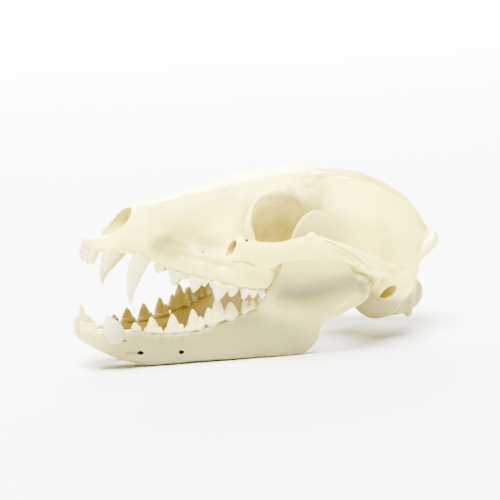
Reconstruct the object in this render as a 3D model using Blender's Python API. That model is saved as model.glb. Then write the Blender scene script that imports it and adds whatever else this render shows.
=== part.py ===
"""Raccoon dog skull with its lower jaw, life size, jaws open, resting on the lower edges of the jaw.

Sizes are millimetres in two frames. The cranium frame has its origin between the front upper
teeth, +X towards the back of the head, +Y to the animal's right and +Z up from the tooth line.
The jaw frame is the same for the lower jaw, with Z measured from the floor that it stands on.
The left side is -Y. The cranium is pitched snout up on the jaw, and both are centred over the origin.
"""

import math

import bmesh
import bpy
import numpy as np
from mathutils import Matrix, Vector

MM = 0.001
GAP = 0.3  # clearance between pieces that touch
SIDES = {"left": -1.0, "right": 1.0}

# How the cranium sits on the jaw, and where the middle of the whole skull is
PITCH = 16.0  # degrees, snout up
CRANIUM_X, CRANIUM_Z = 3.36, 37.0
CENTRE_X = 64.45

# Cranium core: sections across the head, from the snout back
LEVELS = (0.12, 0.38, 0.62, 0.86)  # heights at which half-widths are given, floor 0 to crown 1
ROUNDNESS = 3.2
CORE_SIDES = 24
CORE = (  # x, floor z, crown z, half-widths at LEVELS
    (-0.4, 1.2, 3.4, (3.2, 3.6, 3.2, 2.2)),
    (1.5, 0.6, 4.4, (6.2, 6.4, 5.6, 4.2)),
    (5.0, 0.8, 5.9, (7.8, 7.6, 6.8, 5.6)),
    (7.0, 1.1, 8.0, (8.5, 8.2, 7.2, 5.8)),
    (9.0, 1.4, 11.2, (9.0, 8.8, 7.8, 5.9)),
    (11.0, 1.6, 14.8, (9.5, 9.4, 8.2, 5.6)),
    (12.5, 1.8, 16.2, (10.0, 9.8, 8.2, 5.2)),
    (16.0, 2.0, 17.8, (10.8, 10.0, 8.6, 5.4)),
    (21.0, 2.0, 19.8, (11.2, 9.9, 8.8, 5.6)),
    (27.0, 2.0, 22.5, (12.2, 10.4, 9.0, 6.4)),
    (33.0, 2.0, 25.4, (14.2, 11.8, 10.0, 7.4)),
    (38.0, 2.0, 27.8, (16.8, 14.0, 11.8, 9.2)),
    (43.0, 2.0, 30.2, (19.0, 16.0, 14.2, 11.2)),
    (47.0, 2.2, 32.0, (19.8, 14.4, 13.2, 12.4)),
    (51.0, 2.4, 33.8, (19.0, 10.4, 10.4, 13.0)),
    (56.0, 3.0, 36.0, (14.4, 8.4, 9.4, 14.0)),
    (60.0, 4.0, 37.6, (8.4, 8.0, 9.6, 14.6)),
    (64.0, 4.4, 38.6, (7.6, 8.4, 10.2, 13.4)),
    (68.0, 4.4, 39.2, (7.6, 9.2, 11.0, 11.6)),
    (72.0, 4.0, 39.4, (8.2, 11.0, 12.8, 11.2)),
    (77.0, 3.6, 39.4, (9.4, 15.0, 16.6, 12.4)),
    (83.0, 3.2, 39.4, (11.4, 19.0, 19.8, 14.0)),
    (90.0, 3.0, 39.2, (13.6, 21.4, 21.6, 14.8)),
    (97.0, 3.0, 38.0, (15.0, 22.0, 21.4, 14.4)),
    (104.0, 3.0, 35.6, (15.4, 20.6, 19.0, 12.6)),
    (109.4, 3.4, 32.6, (13.4, 16.4, 15.4, 10.4)),
    (113.0, 4.6, 29.4, (9.6, 10.0, 11.4, 7.6)),
    (115.2, 8.0, 25.6, (5.0, 5.4, 6.6, 4.4)),
)
WALL = 1.6  # thickness of the braincase wall
CAVITY = (69.0, 112.8)  # where the braincase hollow starts and ends
CREST = ((72, 40.0), (80, 41.2), (87, 42.0), (99, 40.4), (106, 38.3), (113.4, 34.2), (119.2, 29.2), (122.5, 26.2))

# Tooth rows: half-width of the arcade and height of the gum line along the jaw
UPPER_ARCADE = ((14, 9.4), (20, 10.0), (24, 10.6), (30, 11.9), (36, 14.0), (42, 16.6), (46, 18.2), (50, 18.8),
                (53, 17.9), (57, 15.0))
UPPER_GUM = ((12, 2.2), (19, 0.9), (23, 0.3), (29, -0.7), (35, -0.8), (40, -1.0), (46, -1.2), (52, -0.7), (58, 0.2))
LOWER_ARCADE = ((13, 7.3), (17, 8.3), (20, 9.1), (27, 10.7), (33, 12.2), (38, 13.3), (44, 14.4), (50, 15.8), (57, 17.6))
LOWER_GUM = ((11, 12.1), (15, 11.8), (21, 10.7), (27, 10.1), (34, 10.5), (40, 12.3), (46, 13.6), (51, 15.3), (57, 17.8))

# Cheek teeth: name, front x, rear x, half-width, cusps as (place along the tooth -1 to 1, height)
UPPER_TEETH = (
    ("P1", 19.4, 23.2, 1.3, ((-0.1, 2.8),)),
    ("P2", 24.2, 30.0, 1.5, ((-0.1, 4.6), (0.8, 1.2))),
    ("P3", 30.3, 36.8, 1.7, ((-0.1, 5.0), (0.75, 1.8))),
    ("P4", 37.2, 45.5, 2.2, ((-0.2, 6.0), (0.6, 3.2))),
    ("M1", 46.1, 52.4, 2.2, ((-0.5, 3.6), (0.5, 3.0))),
    ("M2", 52.7, 57.0, 1.8, ((-0.4, 2.4), (0.5, 1.8))),
)
LOWER_TEETH = (
    ("p1", 14.4, 17.8, 1.2, ((-0.1, 2.6),)),
    ("p2", 18.4, 24.2, 1.4, ((-0.1, 4.9), (0.8, 1.4))),
    ("p3", 24.6, 30.8, 1.6, ((-0.1, 6.0), (0.75, 2.0))),
    ("p4", 30.9, 37.0, 1.7, ((-0.1, 6.5), (0.6, 3.2))),
    ("m1", 37.0, 48.2, 2.2, ((-0.7, 5.4), (-0.2, 7.6), (0.6, 3.6))),
    ("m2", 48.3, 53.4, 1.9, ((-0.4, 2.8), (0.5, 2.2))),
    ("m3", 53.7, 56.2, 1.3, ((0.0, 1.5),)),
)
# Front teeth: name, root point, tip point (both on the right side), half-width across, half-width along
UPPER_FRONT = (
    ("I1", (2.2, 1.5, 4.0), (1.0, 1.4, -3.4), 1.25, 1.1),
    ("I2", (2.8, 4.0, 4.0), (1.8, 3.9, -3.7), 1.3, 1.2),
    ("I3", (6.6, 6.6, 5.5), (4.8, 6.8, -4.6), 1.7, 2.0),
)
LOWER_FRONT = (
    ("i1", (2.2, 1.3, 10.0), (0.6, 1.2, 15.5), 1.0, 1.1),
    ("i2", (2.8, 3.4, 10.0), (1.1, 3.3, 15.7), 1.1, 1.2),
    ("i3", (4.0, 5.2, 10.0), (2.6, 5.6, 15.7), 1.3, 1.3),
)
UPPER_CANINE_TIPS = {"left": -13.1, "right": -10.4}  # the left tooth has slipped down in its socket
CANINE_HALF = (2.2, 3.3)  # across and along, at the gum

# Lower jaw: sections along each half, from the front teeth to the joint
JAW = (  # x, bottom z, top z, middle y at the bottom, middle y at the top, half-thickness low, half-thickness high
    (0.2, 10.2, 13.0, 1.8, 2.0, 1.9, 2.0),
    (2.0, 8.0, 13.4, 2.9, 3.1, 3.0, 3.1),
    (4.7, 6.1, 13.2, 3.6, 4.3, 3.9, 4.0),
    (8.0, 4.4, 12.4, 4.3, 5.6, 4.5, 4.0),
    (12.0, 2.6, 12.1, 5.2, 6.9, 4.4, 3.4),
    (16.0, 1.0, 11.8, 6.3, 8.0, 3.6, 2.9),
    (20.0, 0.0, 10.8, 7.5, 9.1, 3.2, 2.7),
    (26.0, 0.0, 10.1, 9.3, 10.5, 3.0, 2.6),
    (34.0, 0.25, 10.4, 11.6, 12.4, 3.0, 2.6),
    (40.0, 0.3, 12.2, 13.4, 13.6, 3.1, 2.7),
    (46.0, 0.25, 13.6, 15.1, 14.9, 3.0, 2.6),
    (52.0, 0.1, 15.6, 16.9, 16.5, 2.7, 2.3),
    (56.0, 0.0, 18.2, 18.3, 18.9, 2.5, 1.8),
    (58.4, 0.0, 21.4, 19.2, 20.6, 2.4, 1.5),
    (60.0, 0.0, 26.6, 19.6, 21.5, 2.3, 1.4),
    (62.2, 0.0, 34.6, 20.1, 22.3, 2.2, 1.3),
    (65.2, 0.0, 41.8, 20.6, 22.9, 2.2, 1.2),
    (68.6, 1.0, 45.2, 21.2, 23.5, 2.1, 1.2),
    (71.4, 3.6, 46.0, 21.7, 24.0, 2.0, 1.2),
    (72.6, 7.2, 45.8, 22.0, 24.2, 1.9, 1.2),
    (74.2, 10.2, 44.9, 22.3, 24.2, 1.8, 1.2),
    (77.2, 11.8, 42.0, 22.8, 24.2, 1.7, 1.2),
    (80.4, 12.9, 35.4, 23.2, 24.0, 1.8, 1.3),
    (84.0, 13.9, 24.6, 23.5, 24.0, 2.0, 1.8),
    (87.0, 15.4, 22.6, 24.0, 24.0, 2.0, 2.0),
    (89.2, 17.4, 20.6, 24.2, 24.2, 1.2, 1.2),
)
JAW_SIDES = 12
CONDYLE = (87.0, 21.2, 2.5)  # x and z of the joint's axis in the jaw frame, and its radius
CONDYLE_Y = (17.0, 29.2)
GLENOID = (84.75, 7.86, 2.95)  # the same axis in the cranium frame, with room to turn
TRUNK_HALF = (6.8, 5.8)  # half-width and half-height of the opening for the spinal cord
ARCH_CUTS = (0.165, 0.74)  # where the cheek arch meets the upper jaw and the braincase, along its path


def smooth_at(knots, x):
    """Value at x of a smooth curve through (x, value) knots; values may be tuples."""
    xs = np.array([k[0] for k in knots], float)
    ys = np.array([k[1] for k in knots], float)
    slopes = np.empty_like(ys)
    step = np.diff(xs)
    rise = np.diff(ys, axis=0) / (step if ys.ndim == 1 else step[:, None])
    slopes[0], slopes[-1] = rise[0], rise[-1]
    slopes[1:-1] = np.where(rise[:-1] * rise[1:] > 0, 2 * rise[:-1] * rise[1:] / (rise[:-1] + rise[1:] + 1e-12), 0)
    i = int(np.clip(np.searchsorted(xs, x) - 1, 0, len(xs) - 2))
    t = float(np.clip((x - xs[i]) / step[i], 0, 1))
    a, b = 2 * t**3 - 3 * t**2 + 1, t**3 - 2 * t**2 + t
    c, d = 3 * t**2 - 2 * t**3, t**3 - t**2
    return a * ys[i] + b * step[i] * slopes[i] + c * ys[i + 1] + d * step[i] * slopes[i + 1]


def path_at(points, t):
    """Point at share t along a smooth path through 3-D points."""
    places = np.linspace(0, 1, len(points))
    return smooth_at(tuple(zip(places, points)), t)


def material(name, colour, roughness):
    """A plain principled finish."""
    made = bpy.data.materials.new(name)
    made.use_nodes = True
    shader = made.node_tree.nodes["Principled BSDF"]
    shader.inputs["Base Color"].default_value = (*colour, 1.0)
    shader.inputs["Roughness"].default_value = roughness
    shader.inputs["Metallic"].default_value = 0.0
    return made


def new_object(name, mesh, home):
    """An object for a bmesh, with its faces pointing out."""
    bmesh.ops.recalc_face_normals(mesh, faces=mesh.faces)
    data = bpy.data.meshes.new(name)
    mesh.to_mesh(data)
    mesh.free()
    made = bpy.data.objects.new(name, data)
    home.objects.link(made)
    return made


def loft(name, rings, home):
    """A closed solid through rings of equal count, given in millimetres."""
    mesh = bmesh.new()
    rows = [[mesh.verts.new(Vector(p) * MM) for p in ring] for ring in rings]
    count = len(rows[0])
    for near, far in zip(rows, rows[1:]):
        for i in range(count):
            j = (i + 1) % count
            mesh.faces.new((near[i], near[j], far[j], far[i]))
    mesh.faces.new(rows[0])
    mesh.faces.new(rows[-1])
    return new_object(name, mesh, home)


def ellipsoid(name, centre, radii, home, sides=12, rows=8, tilt=0.0):
    """A closed ball with three radii, tilted in the plane of symmetry by some degrees."""
    mesh = bmesh.new()
    bmesh.ops.create_uvsphere(mesh, u_segments=sides, v_segments=rows, radius=1.0)
    shape = Matrix.Translation(Vector(centre) * MM) @ Matrix.Rotation(math.radians(tilt), 4, "Y")
    shape = shape @ Matrix.Diagonal((*[r * MM for r in radii], 1.0))
    bmesh.ops.transform(mesh, matrix=shape, verts=mesh.verts)
    return new_object(name, mesh, home)


def bar_rings(path, wide, high, start=0.0, end=1.0, steps=8, sides=8, up=(0, 0, 1), blunt=0.0):
    """Rings of an oval bar along a path: half-width wide and half-height high at each path point."""
    rings = []
    places = np.linspace(0, 1, len(path))
    for t in np.linspace(start, end, steps):
        here = path_at(path, t)
        along = path_at(path, min(t + 0.01, 1)) - path_at(path, max(t - 0.01, 0))
        along /= np.linalg.norm(along)
        across = np.cross(along, up)
        across /= np.linalg.norm(across)
        over = np.cross(across, along)
        a, b = smooth_at(tuple(zip(places, wide)), t), smooth_at(tuple(zip(places, high)), t)
        rings.append([
            here + across * a * math.cos(f) + over * b * math.sin(f)
            for f in np.arange(sides) * 2 * math.pi / sides + blunt
        ])
    return rings


def bar(name, path, wide, high, home, **shape):
    """An oval bar along a path, as a closed solid."""
    return loft(name, bar_rings(path, wide, high, **shape), home)


def box(name, low, high, home, turn=0.0, about=(0, 0, 0)):
    """A block between two corners, turned about the Y axis through a point."""
    mesh = bmesh.new()
    bmesh.ops.create_cube(mesh, size=1.0)
    size, middle = Vector(high) - Vector(low), (Vector(high) + Vector(low)) / 2
    pivot = Matrix.Translation(Vector(about) * MM)
    shape = pivot @ Matrix.Rotation(math.radians(turn), 4, "Y") @ Matrix.Translation(middle * MM)
    bmesh.ops.transform(mesh, matrix=shape @ Matrix.Diagonal((*(size * MM), 1.0)), verts=mesh.verts)
    return new_object(name, mesh, home)


def combine(base, operation, others, solver="MANIFOLD"):
    """Joins others to base, or cuts them from it, and removes them."""
    group = bpy.data.collections.new("group")
    bpy.context.scene.collection.children.link(group)
    for other in others:
        for home in list(other.users_collection):
            home.objects.unlink(other)
        group.objects.link(other)
    step = base.modifiers.new("combine", "BOOLEAN")
    step.operation = operation
    step.operand_type = "COLLECTION"
    step.collection = group
    step.solver = solver
    bpy.context.view_layer.update()
    result = bpy.data.meshes.new_from_object(base.evaluated_get(bpy.context.evaluated_depsgraph_get()))
    base.modifiers.remove(step)
    base.data = result
    for other in list(group.objects):
        bpy.data.objects.remove(other)
    bpy.data.collections.remove(group)
    return base


def islands(obj, home):
    """Splits an object into its closed surfaces, and returns them largest first with their volumes."""
    mesh = bmesh.new()
    mesh.from_mesh(obj.data)
    left, found = set(mesh.verts), []
    while left:
        stack, island = [left.pop()], set()
        while stack:
            vert = stack.pop()
            island.add(vert)
            near = {edge.other_vert(vert) for edge in vert.link_edges} & left
            left -= near
            stack.extend(near)
        found.append({vert.index for vert in island})
    mesh.free()
    pieces = []
    for number, keep in enumerate(found):
        mesh = bmesh.new()
        mesh.from_mesh(obj.data)
        drop = [vert for vert in mesh.verts if vert.index not in keep]
        bmesh.ops.delete(mesh, geom=drop, context="VERTS")
        volume = mesh.calc_volume(signed=True)
        data = bpy.data.meshes.new(f"{obj.name}_{number}")
        mesh.to_mesh(data)
        mesh.free()
        piece = bpy.data.objects.new(data.name, data)
        home.objects.link(piece)
        pieces.append((volume, piece))
    bpy.data.objects.remove(obj)
    return sorted(pieces, key=lambda pair: -pair[0])


def core_section(x):
    """Floor, crown and the four half-widths of the cranium core at x."""
    floor = float(smooth_at([(s[0], s[1]) for s in CORE], x))
    crown = float(smooth_at([(s[0], s[2]) for s in CORE], x))
    return floor, crown, smooth_at([(s[0], s[3]) for s in CORE], x)


def rounding(level):
    """How full the section is at a level, from 0 at floor and crown to 1 halfway."""
    return (1 - abs(2 * level - 1) ** ROUNDNESS) ** (1 / ROUNDNESS)


def core_ring(x, sides, inset=0.0, floor_inset=0.0):
    """One ring of the cranium core, or of a hollow that lies inset within it."""
    floor, crown, widths = core_section(x)
    floor, crown = floor + floor_inset, crown - inset
    reach = [(level, half / rounding(level)) for level, half in zip(LEVELS, widths)]
    ring = []
    for f in np.arange(sides) * 2 * math.pi / sides:
        c, s = math.cos(f), math.sin(f)
        level = 0.5 + 0.5 * math.copysign(abs(s) ** (2 / ROUNDNESS), s)
        half = float(smooth_at(reach, level)) - inset
        ring.append((x, math.copysign(abs(c) ** (2 / ROUNDNESS), c) * half, floor + (crown - floor) * level))
    return ring


def roof_at(x, y):
    """Height of the core's upper surface at x and a distance y from the middle."""
    floor, crown, widths = core_section(x)
    reach = [(level, half / rounding(level)) for level, half in zip(LEVELS, widths)]
    for level in np.linspace(1, 0.4, 121):
        if float(smooth_at(reach, level)) * rounding(level) >= y:
            return floor + (crown - floor) * level
    return floor + (crown - floor) * 0.4


def build_core(home):
    """The snout, forehead and braincase as one smooth body."""
    places = [s[0] for s in CORE]
    return loft("cranium", [core_ring(x, CORE_SIDES) for x in places], home)


def build_crests(home):
    """The crest along the top of the head, the brow ridges that lead to it, and the flange behind."""
    rings = []
    for x in np.linspace(CREST[0][0], CREST[-1][0], 11):
        top = float(smooth_at(CREST, x))
        floor, crown, _ = core_section(min(x, 112.0))
        low = min(crown - 3.0, top - 5.0)
        foot = float(smooth_at(((72, 4.4), (90, 4.2), (106, 3.2), (118, 2.0), (122.5, 1.2)), x))
        rings.append([(x, -foot, low), (x, -foot * 0.45, top - 1.6), (x, -0.5, top),
                      (x, 0.5, top), (x, foot * 0.45, top - 1.6), (x, foot, low)])
    pieces = [loft("sagittal_crest", rings, home)]
    half = ((99.8, 20.6, 10.6), (104.4, 18.5, 16.2), (110.8, 14.4, 21.2), (117.6, 8.0, 24.8))
    flange = [(x, -y, z) for x, y, z in half] + [(120.8, 0, 26.0)] + list(half[::-1])
    thick = (2.2, 2.0, 1.9, 1.9, 2.0, 1.9, 1.9, 2.0, 2.2)
    deep = (1.4, 1.7, 1.9, 2.1, 2.3, 2.1, 1.9, 1.7, 1.4)
    pieces.append(bar("nuchal_crest", flange, thick, deep, home, steps=13, sides=6, up=(0.2, 0, 1)))
    pieces.append(ellipsoid("occiput", (111.6, 0, 22.6), (6.4, 11.8, 6.2), home, sides=16, rows=10))
    for side in SIDES.values():
        ridge = [(62, 13.2), (66, 10.2), (70, 7.6), (76, 5.0), (83, 3.0)]
        path = [(x, side * y, roof_at(x, y) - 0.4) for x, y in ridge]
        pieces.append(bar("temporal_ridge", path, (1.6, 1.6, 1.6, 1.5, 1.0), (1.2, 1.3, 1.3, 1.2, 0.8), home, steps=7, sides=6))
    return pieces


def build_orbit(side, home):
    """The raised rim of the eye socket and the process behind it."""
    rim = [(47.2, 18.6, 13.0), (45.0, 17.4, 19.0), (46.8, 15.3, 24.6), (51.0, 13.4, 28.6), (56.5, 13.4, 30.6), (62, 15.0, 30.6)]
    path = [(x, side * y, z) for x, y, z in rim]
    pieces = [bar("orbit_rim", path, (1.6, 1.3, 1.3, 1.3, 1.4, 1.4), (2.4, 1.6, 1.5, 1.5, 1.5, 1.3), home,
                  steps=9, sides=6, up=(0.5, 0, 1))]
    horn = [(58, side * 11.0, 33.0), (61.5, side * 14.4, 31.2), (63.3, side * 16.8, 29.0)]
    pieces.append(bar("brow_process", horn, (3.6, 3.2, 1.4), (2.6, 2.3, 1.2), home, steps=5))
    web = [(62.4, side * 14.6, 30.2), (66, side * 12.4, 29.8), (70, side * 11.2, 29.0)]
    pieces.append(bar("brow_web", web, (1.6, 1.8, 1.6), (2.4, 3.4, 3.6), home, steps=4))
    return pieces


def arch_path(side):
    """Centre line of the cheek arch, with its half-thickness and half-height."""
    points = [(42, 12.6, 9.2), (48, 20.2, 10.0), (53, 25.0, 12.2), (58, 29.0, 14.8), (61.5, 31.2, 16.0), (66, 32.7, 16.5),
              (71, 33.3, 16.3), (76, 33.2, 15.6), (81, 31.6, 14.5), (86, 28.6, 13.6), (92, 24.8, 13.0), (99, 21.6, 12.4)]
    thick = (3.4, 2.8, 2.1, 1.7, 1.6, 1.5, 1.4, 1.5, 1.8, 2.2, 2.2, 2.0)
    tall = (5.4, 4.4, 3.4, 3.8, 4.2, 3.2, 3.0, 2.9, 2.9, 2.8, 2.4, 2.0)
    return [(x, side * y, z) for x, y, z in points], thick, tall


def build_arch_ends(side, home):
    """The roots of the cheek arch that belong to the upper jaw and to the braincase."""
    path, thick, tall = arch_path(side)
    front = bar("arch_front", path, thick, tall, home, start=0.0, end=ARCH_CUTS[0], steps=5, sides=10)
    rear = bar("arch_rear", path, thick, tall, home, start=ARCH_CUTS[1], end=1.0, steps=4, sides=10)
    shelf = bar("glenoid_shelf", [(89.2, side * 14.0, 12.4), (87.8, side * 23.0, 12.9), (86.8, side * 28.6, 13.2)],
                (6.2, 5.6, 3.8), (3.2, 3.0, 2.4), home, steps=5, sides=10)
    stop = bar("postglenoid", [(91.5, side * 14.0, 8.8), (90.2, side * 20.0, 8.9), (89.6, side * 26.0, 9.3)],
               (2.0, 1.9, 1.4), (3.6, 3.4, 2.4), home, steps=5)
    return [front, rear, shelf, stop]


def build_arch(name, side, home):
    """The free length of the cheek arch, with the small horn behind the eye."""
    path, thick, tall = arch_path(side)
    length = sum(math.dist(a, b) for a, b in zip(path, path[1:]))
    clear = GAP * 1.3 / length
    arch = bar(name, path, thick, tall, home, start=ARCH_CUTS[0] + clear, end=ARCH_CUTS[1] - clear, steps=18, sides=10)
    horn = bar("horn", [(60.4, side * 31.0, 15.4), (60.2, side * 30.6, 18.4), (60.2, side * 29.9, 20.6)],
               (1.5, 1.3, 0.7), (3.4, 2.5, 0.9), home, steps=4, sides=6, up=(1, 0, 0))
    return combine(arch, "UNION", [horn])


def build_base(side, home):
    """What lies under the braincase on one side: ear capsule, ear opening, processes and joint knob."""
    pieces = [
        ellipsoid("bulla", (97.4, side * 13.4, 4.6), (8.9, 7.4, 8.4), home, sides=14, rows=8),
        bar("ear_tube", [(96.2, side * 15, 7.6), (96.0, side * 23.4, 6.8)], (4.4, 3.9), (4.4, 3.7), home, steps=2, sides=12),
        bar("ear_ridge", [(91.5, side * 24.6, 13.0), (98.5, side * 22.8, 11.8), (106, side * 20.4, 10.2)],
            (1.5, 1.7, 1.6), (2.0, 1.9, 1.6), home, steps=4, sides=8),
        bar("capsule_wing", [(101, side * 15.0, 2.6), (107.4, side * 16.6, 3.4)], (4.0, 3.2), (5.2, 3.6), home, steps=3),
        ellipsoid("mastoid", (102.6, side * 19.6, 9.6), (3.6, 3.4, 5.0), home, sides=10, rows=6),
        bar("paroccipital", [(105.2, side * 17.6, 12.0), (106.6, side * 18.1, 5.0), (108.6, side * 17.8, -1.0)],
            (1.9, 1.7, 1.0), (3.4, 2.8, 1.1), home, steps=5, up=(1, 0, 0)),
        ellipsoid("occipital_condyle", (113.6, side * 7.9, 6.6), (4.4, 4.0, 5.4), home, sides=12, rows=8, tilt=-12),
        bar("pterygoid", [(62.5, side * 6.6, 5.0), (69, side * 6.4, 3.6), (76.5, side * 5.8, 1.8)],
            (0.9, 0.9, 0.7), (4.0, 3.6, 2.4), home, steps=5),
        bar("canine_root", [(25, side * 7.6, 11.0), (19, side * 8.6, 7.6), (14.2, side * 9.0, 3.0)],
            (2.2, 2.8, 3.0), (2.6, 3.4, 3.6), home, steps=4),
    ]
    ridge = [(x, side * (float(smooth_at(UPPER_ARCADE, x)) - 0.2), float(smooth_at(UPPER_GUM, x)) + 3.0)
             for x in (13.5, 20, 26, 32, 38, 44, 50, 57.5)]
    pieces.append(bar("tooth_ridge", ridge, (2.4, 1.8, 1.8, 2.0, 2.3, 2.5, 2.7, 1.8), (3.0,) * 8, home, steps=8, sides=8))
    plate = [(40, side * 15.0, 7.0), (46, side * 18.8, 6.6), (51.5, side * 20.4, 5.6), (56.6, side * 19.4, 3.8)]
    pieces.append(bar("cheek_plate", plate, (2.0, 2.0, 1.9, 1.2), (4.4, 5.2, 5.3, 3.6), home, steps=6, sides=8))
    return pieces


def build_hollows(home):
    """What is cut from the cranium: nose, throat, braincase and nerve openings, ears and joint sockets."""
    cavity = [core_ring(x, 16, WALL, WALL + 0.6) for x in np.linspace(*CAVITY, 11)]
    cuts = [
        bar("nose", [(-4, 0, 10.2), (3, 0, 10.5), (9, 0, 11.0), (13.4, 0, 11.5), (18, 0, 12.4), (24, 0, 13.4)],
            (5.5, 5.4, 5.2, 4.7, 3.6, 2.4), (5.3, 5.3, 5.1, 4.3, 3.8, 3.2), home, steps=10, sides=14),
        loft("braincase_hollow", cavity, home),
        bar("spinal_opening", [(104, 0, 11.0), (124, 0, 9.0)], (TRUNK_HALF[0],) * 2, (TRUNK_HALF[1],) * 2, home, steps=2, sides=16),
        bar("throat", [(55, 0, 6.6), (66, 0, 5.6), (76, 0, 1.0)], (5.4, 5.4, 4.8), (2.6, 3.6, 3.2), home, steps=6, sides=12),
    ]
    for side in SIDES.values():
        cuts.append(bar("joint_socket", [(GLENOID[0], side * 15.8, GLENOID[1]), (GLENOID[0], side * 33, GLENOID[1])],
                        (GLENOID[2],) * 2, (GLENOID[2],) * 2, home, steps=2, sides=12))
        cuts.append(ellipsoid("bulla_hollow", (97.4, side * 13.4, 4.6), (7.5, 6.0, 7.0), home, sides=10, rows=6))
        cuts.append(bar("ear_hole", [(96.0, side * 17.5, 6.4), (96.0, side * 26, 6.4)], (1.5, 1.7), (2.9, 3.2), home, steps=2,
                        sides=10, up=(0.7, 0, 0.7)))
        cuts.append(bar("nerve_opening", [(43.5, side * 14.4, 10.6), (40, side * 15.8, 10.2), (34, side * 15.4, 9.6)],
                        (1.0, 1.5, 1.7), (2.0, 2.4, 2.2), home, steps=5))
    return cuts


def cheek_tooth(name, arcade, gum, spec, way, side, home):
    """A bladed cheek tooth standing in its row; way is -1 for upper teeth and 1 for lower ones."""
    _, front, rear, half, cusps = spec
    rings = []
    reach = 2.0 / len(cusps) if len(cusps) > 1 else 1.15
    for u in np.linspace(-1, 1, 3 + 2 * len(cusps)):
        x = front + (rear - front) * (u + 1) / 2
        y, line = float(smooth_at(arcade, x)), float(smooth_at(gum, x))
        tall = max(max(h * (1 - abs(u - at) / reach) for at, h in cusps), 0.9)
        thick = half * math.sqrt(max(1 - 0.86 * u * u, 0.02))
        slope = (float(smooth_at(arcade, x + 0.5)) - float(smooth_at(arcade, x - 0.5)))
        normal = np.array([-slope, 1.0]) / math.hypot(slope, 1.0)
        profile = ((-0.8, -2.2), (0.8, -2.2), (1.0, 0.1), (0.66, 0.55 * tall), (0.0, tall),
                   (-0.66, 0.55 * tall), (-1.0, 0.1))
        ring = []
        for across, up in profile:
            px, py = x + normal[0] * across * thick, y + normal[1] * across * thick
            ring.append((px, side * py, line + way * up))
        rings.append(ring)
    return loft(name, rings, home)


def grinding_lobe(arcade, gum, spec, way, side, home):
    """The low inner part of a grinding tooth."""
    _, front, rear, half, _ = spec
    x = (front + rear) / 2
    y, line = float(smooth_at(arcade, x)), float(smooth_at(gum, x))
    length = (rear - front) / 2
    return ellipsoid("lobe", (x, side * (y - half - 1.6), line + way * 0.2), (length * 0.72, 3.6, 1.9), home, sides=10, rows=6)


def front_tooth(spec, side, home):
    """A pointed or chisel-shaped front tooth."""
    name, root, tip, across, along = spec
    root, tip = np.array(root, float), np.array(tip, float)
    bow = (root + tip) / 2 + np.array([-0.5, 0.25, 0])
    path = [(p[0], side * p[1], p[2]) for p in (root, bow, tip)]
    return bar(name, path, (across * 0.8, across, across * 0.45), (along * 0.9, along, along * 0.35), home,
               steps=5, sides=6, up=(-1, 0, 0))


def canine(name, path, side, home):
    """A long curved canine tooth."""
    points = [(x, side * y, z) for x, y, z in path]
    wide = [CANINE_HALF[0] * s for s in (0.9, 1.0, 0.78, 0.5, 0.16)]
    deep = [CANINE_HALF[1] * s for s in (0.9, 1.0, 0.72, 0.44, 0.14)]
    return bar(name, points, wide, deep, home, steps=7, sides=8, up=(-1, 0, 0))


def upper_canine(side_name, side, home):
    """The canine of the upper jaw; its tip's height differs from side to side."""
    tip = UPPER_CANINE_TIPS[side_name]
    path = [(18.4, 8.8, 8.0), (15.1, 9.4, 2.0), (13.6, 10.1, tip * 0.32), (13.6, 10.6, tip * 0.68), (14.4, 10.8, tip)]
    return canine("upper_canine", path, side, home)


def lower_canine(side, home):
    """The canine of the lower jaw, leaning out and back."""
    path = [(13.0, 5.8, 4.5), (9.4, 6.8, 9.0), (7.4, 8.2, 12.6), (6.5, 9.4, 15.6), (7.0, 10.2, 18.3)]
    return canine("lower_canine", path, side, home)


def jaw_ring(x, side):
    """One upright section of a half of the lower jaw."""
    bottom, top, y_low, y_high, low, high = smooth_at([(s[0], s[1:]) for s in JAW], x)
    middle, half = (bottom + top) / 2, (top - bottom) / 2
    ring = []
    for f in np.arange(JAW_SIDES) * 2 * math.pi / JAW_SIDES:
        c, s = math.cos(f), math.sin(f)
        lift = math.copysign(abs(s) ** 0.8, s)
        share = (lift + 1) / 2
        y = y_low + (y_high - y_low) * share
        thick = low + (high - low) * share
        ring.append((x, side * (y + thick * math.copysign(abs(c) ** 0.7, c)), middle + half * lift))
    return ring


def build_jaw(name, side, home):
    """One half of the lower jaw with its teeth, its joint knob and the hook below it."""
    places = [s[0] for s in JAW]
    jaw = loft(name, [jaw_ring(x, side) for x in places], home)
    x, z, radius = CONDYLE
    knob = bar("jaw_condyle", [(x + 0.5, side * CONDYLE_Y[0], z - 0.2), (x, side * 24, z), (x - 0.3, side * CONDYLE_Y[1], z)],
               (1.4, radius, 1.5), (1.4, radius, 1.5), home, steps=7, sides=10)
    hook = bar("angular_process", [(78, side * 22.6, 14.9), (83.8, side * 22.4, 15.5), (88.4, side * 22.2, 16.9)],
               (1.6, 1.5, 0.8), (2.2, 1.7, 0.8), home, steps=5)
    rim = bar("ramus_rim", [(87.2, side * 27.0, 20.4), (87.2, side * 26.6, 18.0), (84.6, side * 25.8, 15.6),
                            (80.0, side * 24.8, 13.6), (74.4, side * 23.4, 11.0)],
              (0.8, 1.1, 1.1, 1.0, 0.7), (0.9, 1.2, 1.3, 1.3, 1.0), home, steps=7, sides=6)
    teeth = [cheek_tooth(spec[0], LOWER_ARCADE, LOWER_GUM, spec, 1, side, home) for spec in LOWER_TEETH]
    teeth += [front_tooth(spec, side, home) for spec in LOWER_FRONT]
    teeth.append(lower_canine(side, home))
    combine(jaw, "UNION", [knob, hook, rim, *teeth])
    low, high = sorted((-30 * side, side * GAP / 2))
    middle_cut = box("middle_cut", (-10, low, -5), (30, high, 30), home)
    combine(jaw, "DIFFERENCE", [middle_cut])
    return jaw


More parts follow.
